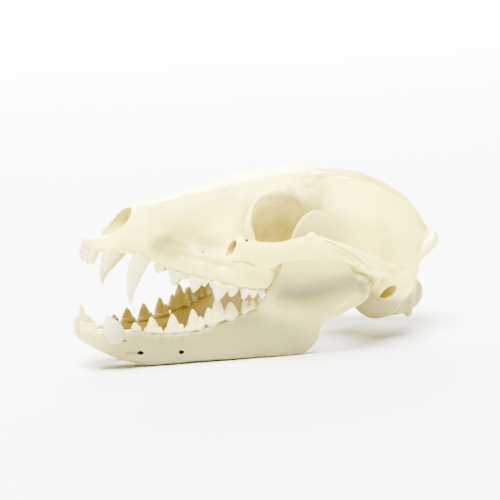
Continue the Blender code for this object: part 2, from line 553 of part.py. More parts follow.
def build_cranium(home):
    """The whole cranium with its upper teeth, parted along its sutures into named bones."""
    cranium = build_core(home)
    pieces = build_crests(home)
    for side in SIDES.values():
        pieces += build_orbit(side, home) + build_arch_ends(side, home) + build_base(side, home)
    combine(cranium, "UNION", pieces)
    combine(cranium, "DIFFERENCE", build_hollows(home))
    teeth = []
    for side_name, side in SIDES.items():
        teeth += [cheek_tooth(s[0], UPPER_ARCADE, UPPER_GUM, s, -1, side, home) for s in UPPER_TEETH]
        teeth += [grinding_lobe(UPPER_ARCADE, UPPER_GUM, s, -1, side, home) for s in UPPER_TEETH[-2:]]
        teeth += [front_tooth(spec, side, home) for spec in UPPER_FRONT]
        teeth.append(upper_canine(side_name, side, home))
    combine(cranium, "UNION", teeth)
    slab = (-GAP / 2, -60, -80), (GAP / 2, 60, 80)
    sutures = [
        box("snout_suture", *slab, home, turn=-28.2, about=(52.5, 0, 17)),
        box("crown_suture", *slab, home, turn=5, about=(70, 0, 20)),
        box("nape_suture", *slab, home, turn=21.6, about=(109.3, 0, 17)),
    ]
    combine(cranium, "DIFFERENCE", sutures)
    found = [piece for _, piece in islands(cranium, home)]
    for scrap in found[4:]:
        bpy.data.objects.remove(scrap)
    bones = sorted(found[:4], key=lambda piece: sum(v.co.x for v in piece.data.vertices) / len(piece.data.vertices))
    for piece, name in zip(bones, ("upper_jaw", "frontal", "braincase", "occipital")):
        piece.name = name
    return bones


def main():
    """Builds the skull and poses the cranium on the lower jaw."""
    for old in list(bpy.data.objects):
        bpy.data.objects.remove(old)
    home = bpy.data.collections.new("raccoon_dog_skull")
    bpy.context.scene.collection.children.link(home)
    bone = material("bone", (0.86, 0.80, 0.64), 0.5)

    pose = bpy.data.objects.new("cranium_pose", None)
    home.objects.link(pose)
    pose.location = Vector((CRANIUM_X - CENTRE_X, 0, CRANIUM_Z)) * MM
    pose.rotation_euler = (0, math.radians(PITCH), 0)
    stand = bpy.data.objects.new("jaw_pose", None)
    home.objects.link(stand)
    stand.location = Vector((-CENTRE_X, 0, 0)) * MM

    cranium = build_cranium(home)
    cranium += [build_arch(f"zygomatic_arch_{name}", side, home) for name, side in SIDES.items()]
    jaws = [build_jaw(f"mandible_{name}", side, home) for name, side in SIDES.items()]
    for pieces, holder in ((cranium, pose), (jaws, stand)):
        for piece in pieces:
            piece.parent = holder
            piece.data.materials.clear()
            piece.data.materials.append(bone)
            piece.data.shade_smooth()


main()
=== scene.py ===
"""Raccoon dog skull with its lower jaw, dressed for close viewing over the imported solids.

Every bone is modelled in millimetres, in the cranium's or the jaw's own frame, and set in the
solids' frame in metres at the end. The animal's left side is -Y and its snout points to -X.
"""

import logging
import math
from collections.abc import Iterable, Sequence
from dataclasses import dataclass, field
from enum import Enum

import bmesh
import bpy
import numpy as np
from mathutils import Matrix, Vector


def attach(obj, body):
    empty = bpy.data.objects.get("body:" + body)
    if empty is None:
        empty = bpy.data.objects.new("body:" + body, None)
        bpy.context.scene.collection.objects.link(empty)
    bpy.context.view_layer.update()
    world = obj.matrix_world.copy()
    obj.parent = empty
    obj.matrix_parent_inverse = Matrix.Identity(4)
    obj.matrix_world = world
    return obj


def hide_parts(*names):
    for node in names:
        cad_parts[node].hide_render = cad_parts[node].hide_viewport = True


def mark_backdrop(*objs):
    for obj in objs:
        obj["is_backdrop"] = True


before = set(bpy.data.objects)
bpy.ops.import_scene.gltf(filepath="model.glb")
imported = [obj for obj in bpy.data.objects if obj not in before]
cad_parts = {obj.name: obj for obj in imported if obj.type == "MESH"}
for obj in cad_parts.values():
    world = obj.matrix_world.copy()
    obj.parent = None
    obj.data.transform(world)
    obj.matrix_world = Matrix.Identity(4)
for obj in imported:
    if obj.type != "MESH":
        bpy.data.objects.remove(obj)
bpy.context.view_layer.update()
log = logging.getLogger("skull")

MM = 0.001
PITCH = 16.0  # degrees that the cranium is turned, snout up
CENTRE_X = 64.45
CRANIUM_SHIFT = (3.36 - CENTRE_X, 0.0, 37.0)
JAW_SHIFT = (-CENTRE_X, 0.0, 0.0)
HAIRLINE = 0.03  # width of the cuts between neighbouring bones
FEWEST_VERTICES = 200  # a loose piece with fewer is a crumb
STROKE_FADE = 0.55  # share of its width at which a stroke has faded to about a third
WAVES = 18  # how many waves a soft unevenness is made of
BLUR_ROUNDS = 24  # how far round a place its depth is judged
HOLLOW_DEPTH = 0.5  # depth at which a hollow has its full painted shade

Point = tuple[float, float, float]
Colour = tuple[float, float, float]
Path = Sequence[Sequence[float]]
Socket = bpy.types.NodeSocket


class Side(Enum):
    """The two sides of the animal, as the sign of Y."""

    LEFT = -1.0
    RIGHT = 1.0

    @property
    def label(self) -> str:
        """The side's name as it stands in node names."""
        return self.name.lower()

    def place(self, points: Iterable[Sequence[float]]) -> list[Point]:
        """Points of the right side, mirrored to this one."""
        return [(p[0], self.value * p[1], p[2]) for p in points]


class Holder(Enum):
    """The frame that a bone is modelled in."""

    CRANIUM = "cranium"
    JAW = "jaw"

    @property
    def matrix(self) -> Matrix:
        """Takes millimetres in this frame to metres in the solids' frame."""
        if self is Holder.JAW:
            return Matrix.Scale(MM, 4) @ Matrix.Translation(JAW_SHIFT)
        pitch = Matrix.Rotation(math.radians(PITCH), 4, "Y")
        return Matrix.Scale(MM, 4) @ Matrix.Translation(CRANIUM_SHIFT) @ pitch


class Paint(Enum):
    """What a vertex carries besides its place: how dark a line, which on the walls of small holes, along the gum
    and in the muscle hollow of the jaw is painted shade; how stained, which on the tongue's side of the jaws and
    teeth is painted shade; how much painted shade it has for lying in a hollow; and how much other painted shade it
    has.
    """

    LINE = "line"
    STAIN = "stain"
    HOLLOW = "hollow"
    SHADE = "shade"


@dataclass(frozen=True)
class Track:
    """A smooth curve through knots, with no overshoot between them.

    Attributes:
        knots: Rows of a place followed by one or more values.
    """

    knots: tuple[tuple[float, ...], ...]

    def at(self, where: np.ndarray | float) -> np.ndarray:
        """Values of the curve.

        Args:
            where: One place or an array of them.

        Returns:
            One row of values for each place.
        """
        rows = np.array(self.knots, float)
        xs, ys = rows[:, 0], rows[:, 1:]
        step = np.diff(xs)[:, None]
        rise = np.diff(ys, axis=0) / step
        slope = np.empty_like(ys)
        slope[0], slope[-1] = rise[0], rise[-1]
        both = rise[:-1] * rise[1:]
        total = rise[:-1] + rise[1:]
        slope[1:-1] = np.where(both > 0, 2 * both / np.where(np.abs(total) < 1e-12, 1e-12, total), 0)
        places = np.atleast_1d(np.asarray(where, float))
        i = np.clip(np.searchsorted(xs, places) - 1, 0, len(xs) - 2)
        t = np.clip((places - xs[i]) / step[i, 0], 0, 1)[:, None]
        return ((2 * t**3 - 3 * t**2 + 1) * ys[i] + (t**3 - 2 * t**2 + t) * step[i] * slope[i]
                + (3 * t**2 - 2 * t**3) * ys[i + 1] + (t**3 - t**2) * step[i] * slope[i + 1])

    def one(self, where: float) -> float:
        """The first value at a single place."""
        return float(self.at(where)[0, 0])


def path_track(points: Path | Sequence[float]) -> Track:
    """A track from 0 to 1 through points or values that are evenly spread along it."""
    places = np.linspace(0, 1, len(points))
    return Track(tuple((float(t), *np.atleast_1d(p)) for t, p in zip(places, points)))


def as_object(mesh: bmesh.types.BMesh, name: str) -> bpy.types.Object:
    """Puts a bmesh into the scene as an object, and frees it."""
    data = bpy.data.meshes.new(name)
    mesh.to_mesh(data)
    mesh.free()
    made = bpy.data.objects.new(name, data)
    bpy.context.scene.collection.objects.link(made)
    return made


def edge_ends(data: bpy.types.Mesh) -> tuple[np.ndarray, np.ndarray]:
    """The vertices at the first and at the second end of every edge."""
    edges = np.empty(len(data.edges) * 2, np.int32)
    data.edges.foreach_get("vertices", edges)
    return tuple(edges.reshape(-1, 2).T)


def brush(data: bpy.types.Mesh, paint: Paint, amount: np.ndarray) -> None:
    """Stores how much of one paint every vertex carries."""
    layer = data.attributes.get(paint.value)
    if layer is None:
        layer = data.attributes.new(paint.value, "FLOAT", "POINT")
    layer.data.foreach_set("value", np.clip(amount, 0, 1).astype(np.float32))


def tint_all(made: bpy.types.Object, amounts: dict[Paint, float]) -> bpy.types.Object:
    """Gives every vertex of an object the same paint."""
    for paint in Paint:
        brush(made.data, paint, np.full(len(made.data.vertices), amounts.get(paint, 0.0)))
    return made


@dataclass
class Clay:
    """Closed shapes heaped together, which are then fused into one smooth skin.

    Attributes:
        mesh: The shapes so far, in millimetres.
        side: The side that balls and bars go to, while their places are given for the right one.
    """

    mesh: bmesh.types.BMesh = field(default_factory=bmesh.new)
    side: Side = Side.RIGHT

    def skin(self, rings: np.ndarray) -> None:
        """Wraps a grid round rings of points, and closes both ends.

        Args:
            rings: Points as rows along the shape, columns round it, and three coordinates.
        """
        first, last = rings[:1].mean(axis=1, keepdims=True), rings[-1:].mean(axis=1, keepdims=True)
        count = rings.shape[1]
        rows = np.concatenate([np.repeat(first, count, 1), rings, np.repeat(last, count, 1)])
        rows = np.concatenate([rows, rows[:, :1]], axis=1).reshape(-1, 3)
        made = bmesh.ops.create_grid(self.mesh, x_segments=count, y_segments=len(rings) + 1, size=1)["verts"]
        for vert, place in zip(made, rows):
            vert.co = place
        bmesh.ops.remove_doubles(self.mesh, verts=made, dist=1e-4)
        faces = {f for v in made if v.is_valid for f in v.link_faces}
        bmesh.ops.recalc_face_normals(self.mesh, faces=list(faces))

    def ball(self, centre: Point, radii: Point, tilt: float = 0.0) -> None:
        """A ball with three radii, tilted in the plane of symmetry by some degrees."""
        shape = Matrix.Translation(*self.side.place([centre])) @ Matrix.Rotation(math.radians(tilt), 4, "Y")
        shape = shape @ Matrix.Diagonal((*radii, 1.0))
        bmesh.ops.create_uvsphere(self.mesh, u_segments=40, v_segments=24, radius=1, matrix=shape)

    def bar(self, path: Path, wide: Sequence[float], high: Sequence[float], up: Point = (0, 0, 1),
            sides: int = 20, steps: int = 28, blunt: float = 8.0) -> None:
        """An oval bar with rounded ends.

        Args:
            path: Points along its middle.
            wide: Half-widths across at the points.
            high: Half-heights at the points.
            up: The direction that the heights are measured along.
            sides: Points round it.
            steps: Rings along it.
            blunt: How squarely it ends, from 2, round, upwards.
        """
        middle, widths, heights = path_track(self.side.place(path)), path_track(wide), path_track(high)
        u = np.sin(np.linspace(-math.pi / 2, math.pi / 2, steps))
        t = 0.5 + 0.5 * u
        fade = np.sqrt(np.clip(1 - np.abs(u) ** blunt, 0, 1)) + 1e-3
        here = middle.at(t)
        along = middle.at(np.minimum(t + 0.01, 1)) - middle.at(np.maximum(t - 0.01, 0))
        along /= np.linalg.norm(along, axis=1)[:, None]
        across = np.cross(along, np.array(up, float))
        across /= np.linalg.norm(across, axis=1)[:, None]
        over = np.cross(across, along)
        a = (widths.at(t)[:, 0] * fade)[:, None, None]
        b = (heights.at(t)[:, 0] * fade)[:, None, None]
        f = np.arange(sides) * 2 * math.pi / sides
        rings = (here[:, None] + across[:, None] * a * np.cos(f)[None, :, None]
                 + over[:, None] * b * np.sin(f)[None, :, None])
        self.skin(rings)

    def fuse(self, name: str, voxel: float, rounds: int) -> bpy.types.Object:
        """Melts the shapes into one skin and smooths the creases where they met.

        Args:
            name: The new object's name.
            voxel: Size of the grid that the skin is drawn through.
            rounds: How often the skin is smoothed.

        Returns:
            The object, still in millimetres.
        """
        made = as_object(self.mesh, name)
        melt = made.modifiers.new("melt", "REMESH")
        melt.mode, melt.voxel_size, melt.use_smooth_shade = "VOXEL", voxel, True
        calm = made.modifiers.new("calm", "SMOOTH")
        calm.factor, calm.iterations = 0.5, rounds
        return settle(made)

    def cutter(self, name: str, paint: Paint, amount: float) -> bpy.types.Object:
        """The shapes as they are, as a cutter that leaves some paint on what it cuts."""
        return tint_all(as_object(self.mesh, name), {paint: amount})

    def take(self, made: bpy.types.Object) -> None:
        """Puts a finished object back on the heap."""
        self.mesh.from_mesh(made.data)
        bpy.data.objects.remove(made)


def drill(name: str, paint: Paint, amount: float, path: Path, wide: Sequence[float], high: Sequence[float],
          side: Side = Side.RIGHT, **shape: float | Point) -> bpy.types.Object:
    """A single bar as a cutter.

    Args:
        name: The cutter's name.
        paint: What it leaves on the walls that it cuts.
        amount: How much of it.
        path: Points along its middle, given for the right side.
        wide: Half-widths across at the points.
        high: Half-heights at the points.
        side: The side that it goes to.
        **shape: The other values of a bar.

    Returns:
        The cutter.
    """
    clay = Clay(side=side)
    clay.bar(path, wide, high, **shape)
    return clay.cutter(name, paint, amount)


def settle(made: bpy.types.Object) -> bpy.types.Object:
    """Applies an object's modifiers."""
    bpy.context.view_layer.update()
    data = bpy.data.meshes.new_from_object(made.evaluated_get(bpy.context.evaluated_depsgraph_get()))
    made.modifiers.clear()
    old, made.data = made.data, data
    bpy.data.meshes.remove(old)
    return made


def cut(made: bpy.types.Object, cutters: Sequence[bpy.types.Object]) -> bpy.types.Object:
    """Takes the cutters away from an object, one after the other."""
    for cutter in cutters:
        step = made.modifiers.new("cut", "BOOLEAN")
        step.operation, step.object, step.solver = "DIFFERENCE", cutter, "MANIFOLD"
        settle(made)
        bpy.data.objects.remove(cutter)
    return made


def middle_of(made: bpy.types.Object, axis: int) -> float:
    """The mean place of an object's vertices along an axis."""
    return np.mean([v.co[axis] for v in made.data.vertices])


def loose_pieces(made: bpy.types.Object) -> list[bpy.types.Object]:
    """Parts an object into its separate skins, and drops crumbs.

    Args:
        made: The object, which is used up.

    Returns:
        The pieces, from the snout back.
    """
    a, b = edge_ends(made.data)
    label = np.arange(len(made.data.vertices))
    while True:
        low = np.minimum(label[a], label[b])
        fresh = label.copy()
        np.minimum.at(fresh, a, low)
        np.minimum.at(fresh, b, low)
        fresh = fresh[fresh]
        if (fresh == label).all():
            break
        label = fresh
    pieces = []
    names, sizes = np.unique(label, return_counts=True)
    for name in names[sizes >= FEWEST_VERTICES]:
        mesh = bmesh.new()
        mesh.from_mesh(made.data)
        mesh.verts.ensure_lookup_table()
        bmesh.ops.delete(mesh, geom=[mesh.verts[i] for i in np.nonzero(label != name)[0]], context="VERTS")
        pieces.append(as_object(mesh, "piece"))
    bpy.data.objects.remove(made)
    return sorted(pieces, key=lambda piece: middle_of(piece, 0))


@dataclass
class Chisel:
    """Strokes that push, carve and tint a skin of many small faces.

    Attributes:
        made: The object that is worked on.
        side: The side that marks go to, while their places are given for the right one.
        co: The places of its vertices.
        ends: The vertices at both ends of its edges.
        tint: How much of every paint its vertices carry.
    """

    made: bpy.types.Object
    side: Side = Side.RIGHT
    co: np.ndarray = field(init=False)
    ends: tuple[np.ndarray, np.ndarray] = field(init=False)
    tint: dict[Paint, np.ndarray] = field(init=False)

    def __post_init__(self) -> None:
        """Reads the skin."""
        self.co = np.empty(len(self.made.data.vertices) * 3)
        self.made.data.vertices.foreach_get("co", self.co)
        self.co = self.co.reshape(-1, 3)
        self.ends = edge_ends(self.made.data)
        self.tint = {paint: np.zeros(len(self.co)) for paint in Paint}

    @property
    def normals(self) -> np.ndarray:
        """The skin's directions outwards at its vertices, as they were when it was last written."""
        found = np.empty(len(self.co) * 3, np.float32)
        self.made.data.vertex_normals.foreach_get("vector", found)
        return found.reshape(-1, 3).astype(float)

    def reach(self, path: Path) -> np.ndarray:
        """Distance of every vertex from a line through points."""
        points = np.array(self.side.place(path), float)
        if len(path) > 2:
            points = path_track(points).at(np.linspace(0, 1, 6 * len(path)))
        best = np.full(len(self.co), 1e9)
        for a, b in zip(points, points[1:]):
            run = b - a
            t = np.clip((self.co - a) @ run / max(run @ run, 1e-9), 0, 1)
            best = np.minimum(best, np.linalg.norm(self.co - a - t[:, None] * run, axis=1))
        return best

    def far(self, centre: Point, radii: Point) -> np.ndarray:
        """Squared distance of every vertex from a centre, which is 1 on an oval with these radii."""
        return (((self.co - np.array(*self.side.place([centre]))) / np.array(radii)) ** 2).sum(axis=1)

    def lay(self, paint: Paint, amount: np.ndarray) -> None:
        """Lays paint on wherever it is stronger than what is there."""
        self.tint[paint] = np.maximum(self.tint[paint], amount)

    def stroke(self, path: Path, width: float, depth: float, line: float = 0.0, stain: float = 0.0,
               shade: float = 0.0) -> None:
        """Presses a stroke in, or raises it where depth is negative.

        Args:
            path: Points that the stroke follows.
            width: Distance at which it has nearly faded.
            depth: How far it goes in.
            line: How dark a line it leaves.
            stain: How much of the staining paint it leaves, which in places is painted shade.
            shade: How much painted shade it leaves.
        """
        share = np.exp(-((self.reach(path) / (STROKE_FADE * width)) ** 2))
        self.co -= self.normals * (share * depth)[:, None]
        self.lay(Paint.LINE, share * line)
        self.lay(Paint.STAIN, share * stain)
        self.lay(Paint.SHADE, share * shade)

    def dent(self, centre: Point, radii: Point, depth: float, stain: float = 0.0) -> None:
        """Presses a broad hollow in, or raises a swelling where depth is negative, and tints it with the staining
        paint.
        """
        far = self.far(centre, radii)
        share = np.where(far < 1, (1 - np.minimum(far, 1)) ** 2, 0)
        self.co -= self.normals * (share * depth)[:, None]
        self.lay(Paint.STAIN, share * stain)

    def wash(self, paint: Paint, centre: Point, radii: Point, amount: float, edge: float) -> None:
        """Tints a patch evenly, fading over the outer share of its radius that edge gives."""
        share = np.clip((1 - np.sqrt(self.far(centre, radii))) / edge, 0, 1)
        self.lay(paint, share * share * (3 - 2 * share) * amount)

    def ripple(self, height: float, shortest: float, longest: float, seed: int) -> None:
        """Breaks up the smoothness with a soft unevenness of waves that cross each other."""
        dice = np.random.default_rng(seed)
        total = np.zeros(len(self.co))
        for _ in range(WAVES):
            way = dice.normal(size=3)
            way *= 2 * math.pi / (np.linalg.norm(way) * dice.uniform(shortest, longest))
            total += np.sin(self.co @ way + dice.uniform(0, 6.28))
        self.co += self.normals * (total * height / 4)[:, None]

    def blurred(self, co: np.ndarray) -> np.ndarray:
        """The middle of every vertex's neighbours, where the vertices are at co."""
        a, b = self.ends
        count = np.bincount(np.concatenate([a, b]), minlength=len(co))
        total = [np.bincount(a, co[b, i], len(co)) + np.bincount(b, co[a, i], len(co)) for i in range(3)]
        return np.stack(total, axis=1) / count[:, None]

    def calm(self) -> None:
        """Evens the skin out without shrinking it: a step towards the neighbours, and one back."""
        for step in (0.5, -0.52):
            self.co += (self.blurred(self.co) - self.co) * step

    def find_hollows(self) -> None:
        """Lays painted shade on the places that lie deeper than what surrounds them."""
        flat = self.co.copy()
        for _ in range(BLUR_ROUNDS):
            flat = self.blurred(flat)
        rise = ((flat - self.co) * self.normals).sum(axis=1)
        self.tint[Paint.HOLLOW] = np.clip(rise / HOLLOW_DEPTH, 0, 1)

    def write(self) -> None:
        """Puts the worked skin back on the object."""
        self.made.data.vertices.foreach_set("co", self.co.ravel())
        self.made.data.update()
        for paint, amount in self.tint.items():
            brush(self.made.data, paint, amount)


def place(made: bpy.types.Object, holder: Holder, name: str) -> bpy.types.Object:
    """Sets a finished piece in the solids' frame, names it and shades it smooth."""
    made.data.transform(holder.matrix)
    made.name = made.data.name = name
    made.data.shade_smooth()
    return made


class Palette:
    """A material in the making: its nodes, and the ways to join them."""

    def __init__(self, name: str, settings: dict[str, float | Colour]) -> None:
        """Starts a material.

        Args:
            name: The material's name.
            settings: The shader's plain sockets with their values.
        """
        self.material = bpy.data.materials.new(name)
        self.material.use_nodes = True
        self.tree = self.material.node_tree
        self.shader = self.tree.nodes["Principled BSDF"]
        for socket, value in settings.items():
            self.shader.inputs[socket].default_value = value
        self.spot = self.tree.nodes.new("ShaderNodeTexCoord").outputs["Object"]

    def feed(self, socket: Socket, value: Socket | float | Colour) -> None:
        """Links a socket to another one, or sets it to a number or a colour."""
        if isinstance(value, Socket):
            self.tree.links.new(value, socket)
        else:
            socket.default_value = (*value, 1) if isinstance(value, tuple) else value

    def noise(self, scale: float, detail: float) -> Socket:
        """A noise field on Object coordinates."""
        node = self.tree.nodes.new("ShaderNodeTexNoise")
        for name, value in (("Scale", scale), ("Detail", detail), ("Vector", self.spot)):
            self.feed(node.inputs[name], value)
        return node.outputs["Fac"]

    def ramp(self, value: Socket, low: float, high: float) -> Socket:
        """A value stretched so that low becomes 0 and high becomes 1."""
        node = self.tree.nodes.new("ShaderNodeMapRange")
        node.interpolation_type = "SMOOTHSTEP"
        for name, given in (("From Min", low), ("From Max", high), ("Value", value)):
            self.feed(node.inputs[name], given)
        return node.outputs["Result"]

    def calc(self, operation: str, *values: Socket | float) -> Socket:
        """One sum of sockets and numbers, such as MULTIPLY."""
        node = self.tree.nodes.new("ShaderNodeMath")
        node.operation = operation
        for socket, value in zip(node.inputs, values):
            self.feed(socket, value)
        return node.outputs[0]

    def amount(self, paint: Paint) -> Socket:
        """How much of one paint the surface carries."""
        node = self.tree.nodes.new("ShaderNodeAttribute")
        node.attribute_name = paint.value
        return node.outputs["Fac"]

    def mix(self, share: Socket, a: Socket | Colour, b: Socket | Colour) -> Socket:
        """Two colours mixed."""
        node = self.tree.nodes.new("ShaderNodeMix")
        node.data_type = "RGBA"
        self.tree.links.new(share, node.inputs["Factor"])
        for name, colour in (("A", a), ("B", b)):
            self.feed(next(s for s in node.inputs if s.name == name and s.type == "RGBA"), colour)
        return next(s for s in node.outputs if s.type == "RGBA")

    def finish(self, colour: Socket, height: Socket, strength: float, distance: float) -> bpy.types.Material:
        """Joins the colour and the fine relief to the shader.

        Args:
            colour: The surface's colour.
            height: The relief, from 0 to 1.
            strength: How much of the relief is felt.
            distance: The relief's height in metres.

        Returns:
            The finished material.
        """
        bump = self.tree.nodes.new("ShaderNodeBump")
        for name, value in (("Strength", strength), ("Distance", distance), ("Height", height)):
            self.feed(bump.inputs[name], value)
        self.tree.links.new(colour, self.shader.inputs["Base Color"])
        self.tree.links.new(bump.outputs["Normal"], self.shader.inputs["Normal"])
        return self.material


@dataclass(frozen=True)
class BoneFinish:
    """Cleaned ivory bone with fine grain and ochre staining, with painted shade: warmer in hollows, and darker
    wherever the shade paint lies.
    """

    name: str = "cleaned bone"
    ivory: Colour = (0.93, 0.86, 0.18)
    cream: Colour = (0.74, 0.64, 0.10)
    ochre: Colour = (0.34, 0.225, 0.028)
    # The colour that painted shade is mixed towards.
    olive: Colour = (0.24, 0.20, 0.05)
    dark: Colour = (0.16, 0.10, 0.04)
    roughness: float = 0.46
    grain: float = 0.12

    def build(self) -> bpy.types.Material:
        """The material."""
        palette = Palette(self.name, {
            "Roughness": self.roughness, "Specular IOR Level": 0.45, "Subsurface Weight": 0.12,
            "Subsurface Radius": (1.0, 0.72, 0.4), "Subsurface Scale": 0.0015})
        cloudy = palette.ramp(palette.noise(55.0, 3.0), 0.42, 0.72)
        colour = palette.mix(cloudy, self.ivory, self.cream)
        # Painted shade: hollows warmed towards cream, then the shade paint mixed in.
        colour = palette.mix(palette.calc("MULTIPLY", palette.amount(Paint.HOLLOW), 0.75), colour, self.cream)
        colour = palette.mix(palette.amount(Paint.SHADE), colour, self.olive)
        # Ochre from the staining paint, which on the tongue's side of the jaws and teeth is painted shade.
        patchy = palette.ramp(palette.noise(240.0, 5.0), 0.30, 0.62)
        stain = palette.calc("MULTIPLY", palette.amount(Paint.STAIN),
                             palette.calc("MULTIPLY_ADD", patchy, 0.45, 0.6))
        colour = palette.mix(stain, colour, self.ochre)
        colour = palette.mix(palette.amount(Paint.LINE), colour, self.dark)
        fine = palette.calc("MULTIPLY", palette.noise(1900.0, 4.0), 0.4)
        pores = palette.calc("MULTIPLY", palette.noise(620.0, 2.0), 0.8)
        return palette.finish(colour, palette.calc("ADD", fine, pores), self.grain, 0.0006)


@dataclass(frozen=True)
class EnamelFinish:
    """Tooth enamel: whiter and glossier than the bone, with painted shade that warms it towards the gum and in
    hollows.
    """

    name: str = "tooth enamel"
    white: Colour = (0.84, 0.80, 0.31)
    warm: Colour = (0.80, 0.70, 0.22)
    # The colour that painted shade is mixed towards.
    grey: Colour = (0.46, 0.40, 0.20)
    ochre: Colour = (0.31, 0.215, 0.045)
    dark: Colour = (0.2, 0.13, 0.06)
    roughness: float = 0.24

    def build(self) -> bpy.types.Material:
        """The material."""
        palette = Palette(self.name, {
            "Roughness": self.roughness, "Subsurface Weight": 0.15, "Subsurface Radius": (0.9, 0.8, 0.6),
            "Subsurface Scale": 0.001, "Coat Weight": 0.25, "Coat Roughness": 0.12})
        cloudy = palette.ramp(palette.noise(320.0, 4.0), 0.38, 0.75)
        colour = palette.mix(palette.calc("MULTIPLY", cloudy, 0.35), self.white, self.warm)
        # Painted shade: hollows and the gum band warmed, then the shade paint; after it the staining paint, which
        # on the tongue's side is painted shade too, and dark lines.
        for paint, tone in ((Paint.HOLLOW, self.warm), (Paint.SHADE, self.grey), (Paint.STAIN, self.ochre),
                            (Paint.LINE, self.dark)):
            colour = palette.mix(palette.amount(paint), colour, tone)
        return palette.finish(colour, palette.noise(1500.0, 3.0), 0.08, 0.0003)


@dataclass
class Cranium:
    """The skull without its lower jaw, modelled whole and then parted into its bones."""

    levels: tuple[float, ...] = (0.12, 0.38, 0.62, 0.86)
    roundness: float = 3.2
    core: tuple[tuple[float, ...], ...] = (
        (-0.4, 1.2, 3.4, 3.2, 3.6, 3.2, 2.2),
        (1.5, 0.6, 4.4, 6.2, 6.4, 5.6, 4.2),
        (5.0, 0.8, 5.9, 7.8, 7.6, 6.8, 5.6),
        (7.0, 1.1, 8.0, 8.5, 8.2, 7.2, 5.8),
        (9.0, 1.4, 11.2, 9.0, 8.8, 7.8, 5.9),
        (11.0, 1.6, 14.8, 9.5, 9.4, 8.2, 5.6),
        (12.5, 1.8, 16.2, 10.0, 9.8, 8.2, 5.2),
        (16.0, 2.0, 17.8, 10.8, 10.0, 8.6, 5.4),
        (21.0, 2.0, 19.8, 11.2, 9.9, 8.8, 5.6),
        (27.0, 2.0, 22.5, 12.2, 10.4, 9.0, 6.4),
        (33.0, 2.0, 25.4, 14.2, 11.8, 10.0, 7.4),
        (38.0, 2.0, 27.8, 16.8, 14.0, 11.8, 9.2),
        (43.0, 2.0, 30.2, 19.0, 16.0, 14.2, 11.2),
        (47.0, 2.2, 32.0, 19.8, 14.4, 13.2, 12.4),
        (51.0, 2.4, 33.8, 19.0, 10.4, 10.4, 13.0),
        (56.0, 3.0, 36.0, 14.4, 8.4, 9.4, 14.0),
        (60.0, 4.0, 37.6, 8.4, 8.0, 9.6, 14.6),
        (64.0, 4.4, 38.6, 7.6, 8.4, 10.2, 13.4),
        (68.0, 4.4, 39.2, 7.6, 9.2, 11.0, 11.6),
        (72.0, 4.0, 39.4, 8.2, 11.0, 12.8, 11.2),
        (77.0, 3.6, 39.4, 9.4, 15.0, 16.6, 12.4),
        (83.0, 3.2, 39.4, 11.4, 19.0, 19.8, 14.0),
        (90.0, 3.0, 39.2, 13.6, 21.4, 21.6, 14.8),
        (97.0, 3.0, 38.0, 15.0, 22.0, 21.4, 14.4),
        (104.0, 3.0, 35.6, 15.4, 20.6, 19.0, 12.6),
        (109.4, 3.4, 32.6, 13.4, 16.4, 15.4, 10.4),
        (113.0, 4.6, 29.4, 9.6, 10.0, 11.4, 7.6),
        (115.2, 8.0, 25.6, 5.0, 5.4, 6.6, 4.4),
    )
    crest: tuple[tuple[float, float], ...] = (
        (72, 40.0), (80, 41.2), (87, 42.0), (99, 40.4), (106, 38.3), (113.4, 34.2), (119.2, 29.2), (122.5, 26.2))
    crest_foot: tuple[tuple[float, float], ...] = ((72, 4.4), (90, 4.2), (106, 3.2), (118, 2.0), (122.5, 1.2))
    bones: tuple[str, ...] = ("upper_jaw", "frontal", "braincase", "occipital")
    wall: float = 1.6
    cavity: tuple[float, float] = (69.0, 112.8)
    body_voxel: float = 0.6
    voxel: float = 0.42
    arch_from: float = 15.0
    cut_places: tuple[float, float] = (0.165, 0.74)
    arch: tuple[Point, ...] = (
        (42, 12.6, 9.2), (48, 20.2, 10.0), (53, 25.0, 12.2), (58, 29.0, 14.8), (61.5, 31.2, 16.0), (66, 32.7, 16.5),
        (71, 33.3, 16.3), (76, 33.2, 15.6), (81, 31.6, 14.5), (86, 28.6, 13.6), (92, 24.8, 13.0), (99, 21.6, 12.4))
    arch_thick: tuple[float, ...] = (3.4, 2.8, 2.1, 1.7, 1.6, 1.5, 1.4, 1.5, 1.8, 2.2, 2.2, 2.0)
    arch_tall: tuple[float, ...] = (5.4, 4.4, 3.4, 3.8, 4.2, 3.2, 3.0, 2.9, 2.9, 2.8, 2.4, 2.0)

    def ring(self, x: float, sides: int, inset: float = 0.0, floor_inset: float = 0.0) -> np.ndarray:
        """One section across the head.

        Args:
            x: Where the section is.
            sides: Points round it.
            inset: How far inside the outer skin it lies.
            floor_inset: The same, at its floor.

        Returns:
            Its points.
        """
        row = Track(self.core).at(x)[0]
        floor, crown, widths = row[0] + floor_inset, row[1] - inset, row[2:]
        full = [(1 - abs(2 * v - 1) ** self.roundness) ** (1 / self.roundness) for v in self.levels]
        f = np.arange(sides) * 2 * math.pi / sides
        c, s = np.cos(f), np.sin(f)
        level = 0.5 + 0.5 * np.sign(s) * np.abs(s) ** (2 / self.roundness)
        half = Track(tuple(zip(self.levels, widths / np.array(full)))).at(level)[:, 0] - inset
        y = np.sign(c) * np.abs(c) ** (2 / self.roundness) * half
        return np.stack([np.full(sides, x), y, floor + (crown - floor) * level], axis=1)

    def roof(self, x: float, y: float) -> float:
        """Height of the skin above a place in the upper half."""
        upper = self.ring(x, 160)
        upper = upper[(upper[:, 2] > np.median(upper[:, 2])) & (upper[:, 1] >= 0)]
        return float(np.interp(y, upper[:, 1][np.argsort(upper[:, 1])], upper[:, 2][np.argsort(upper[:, 1])]))

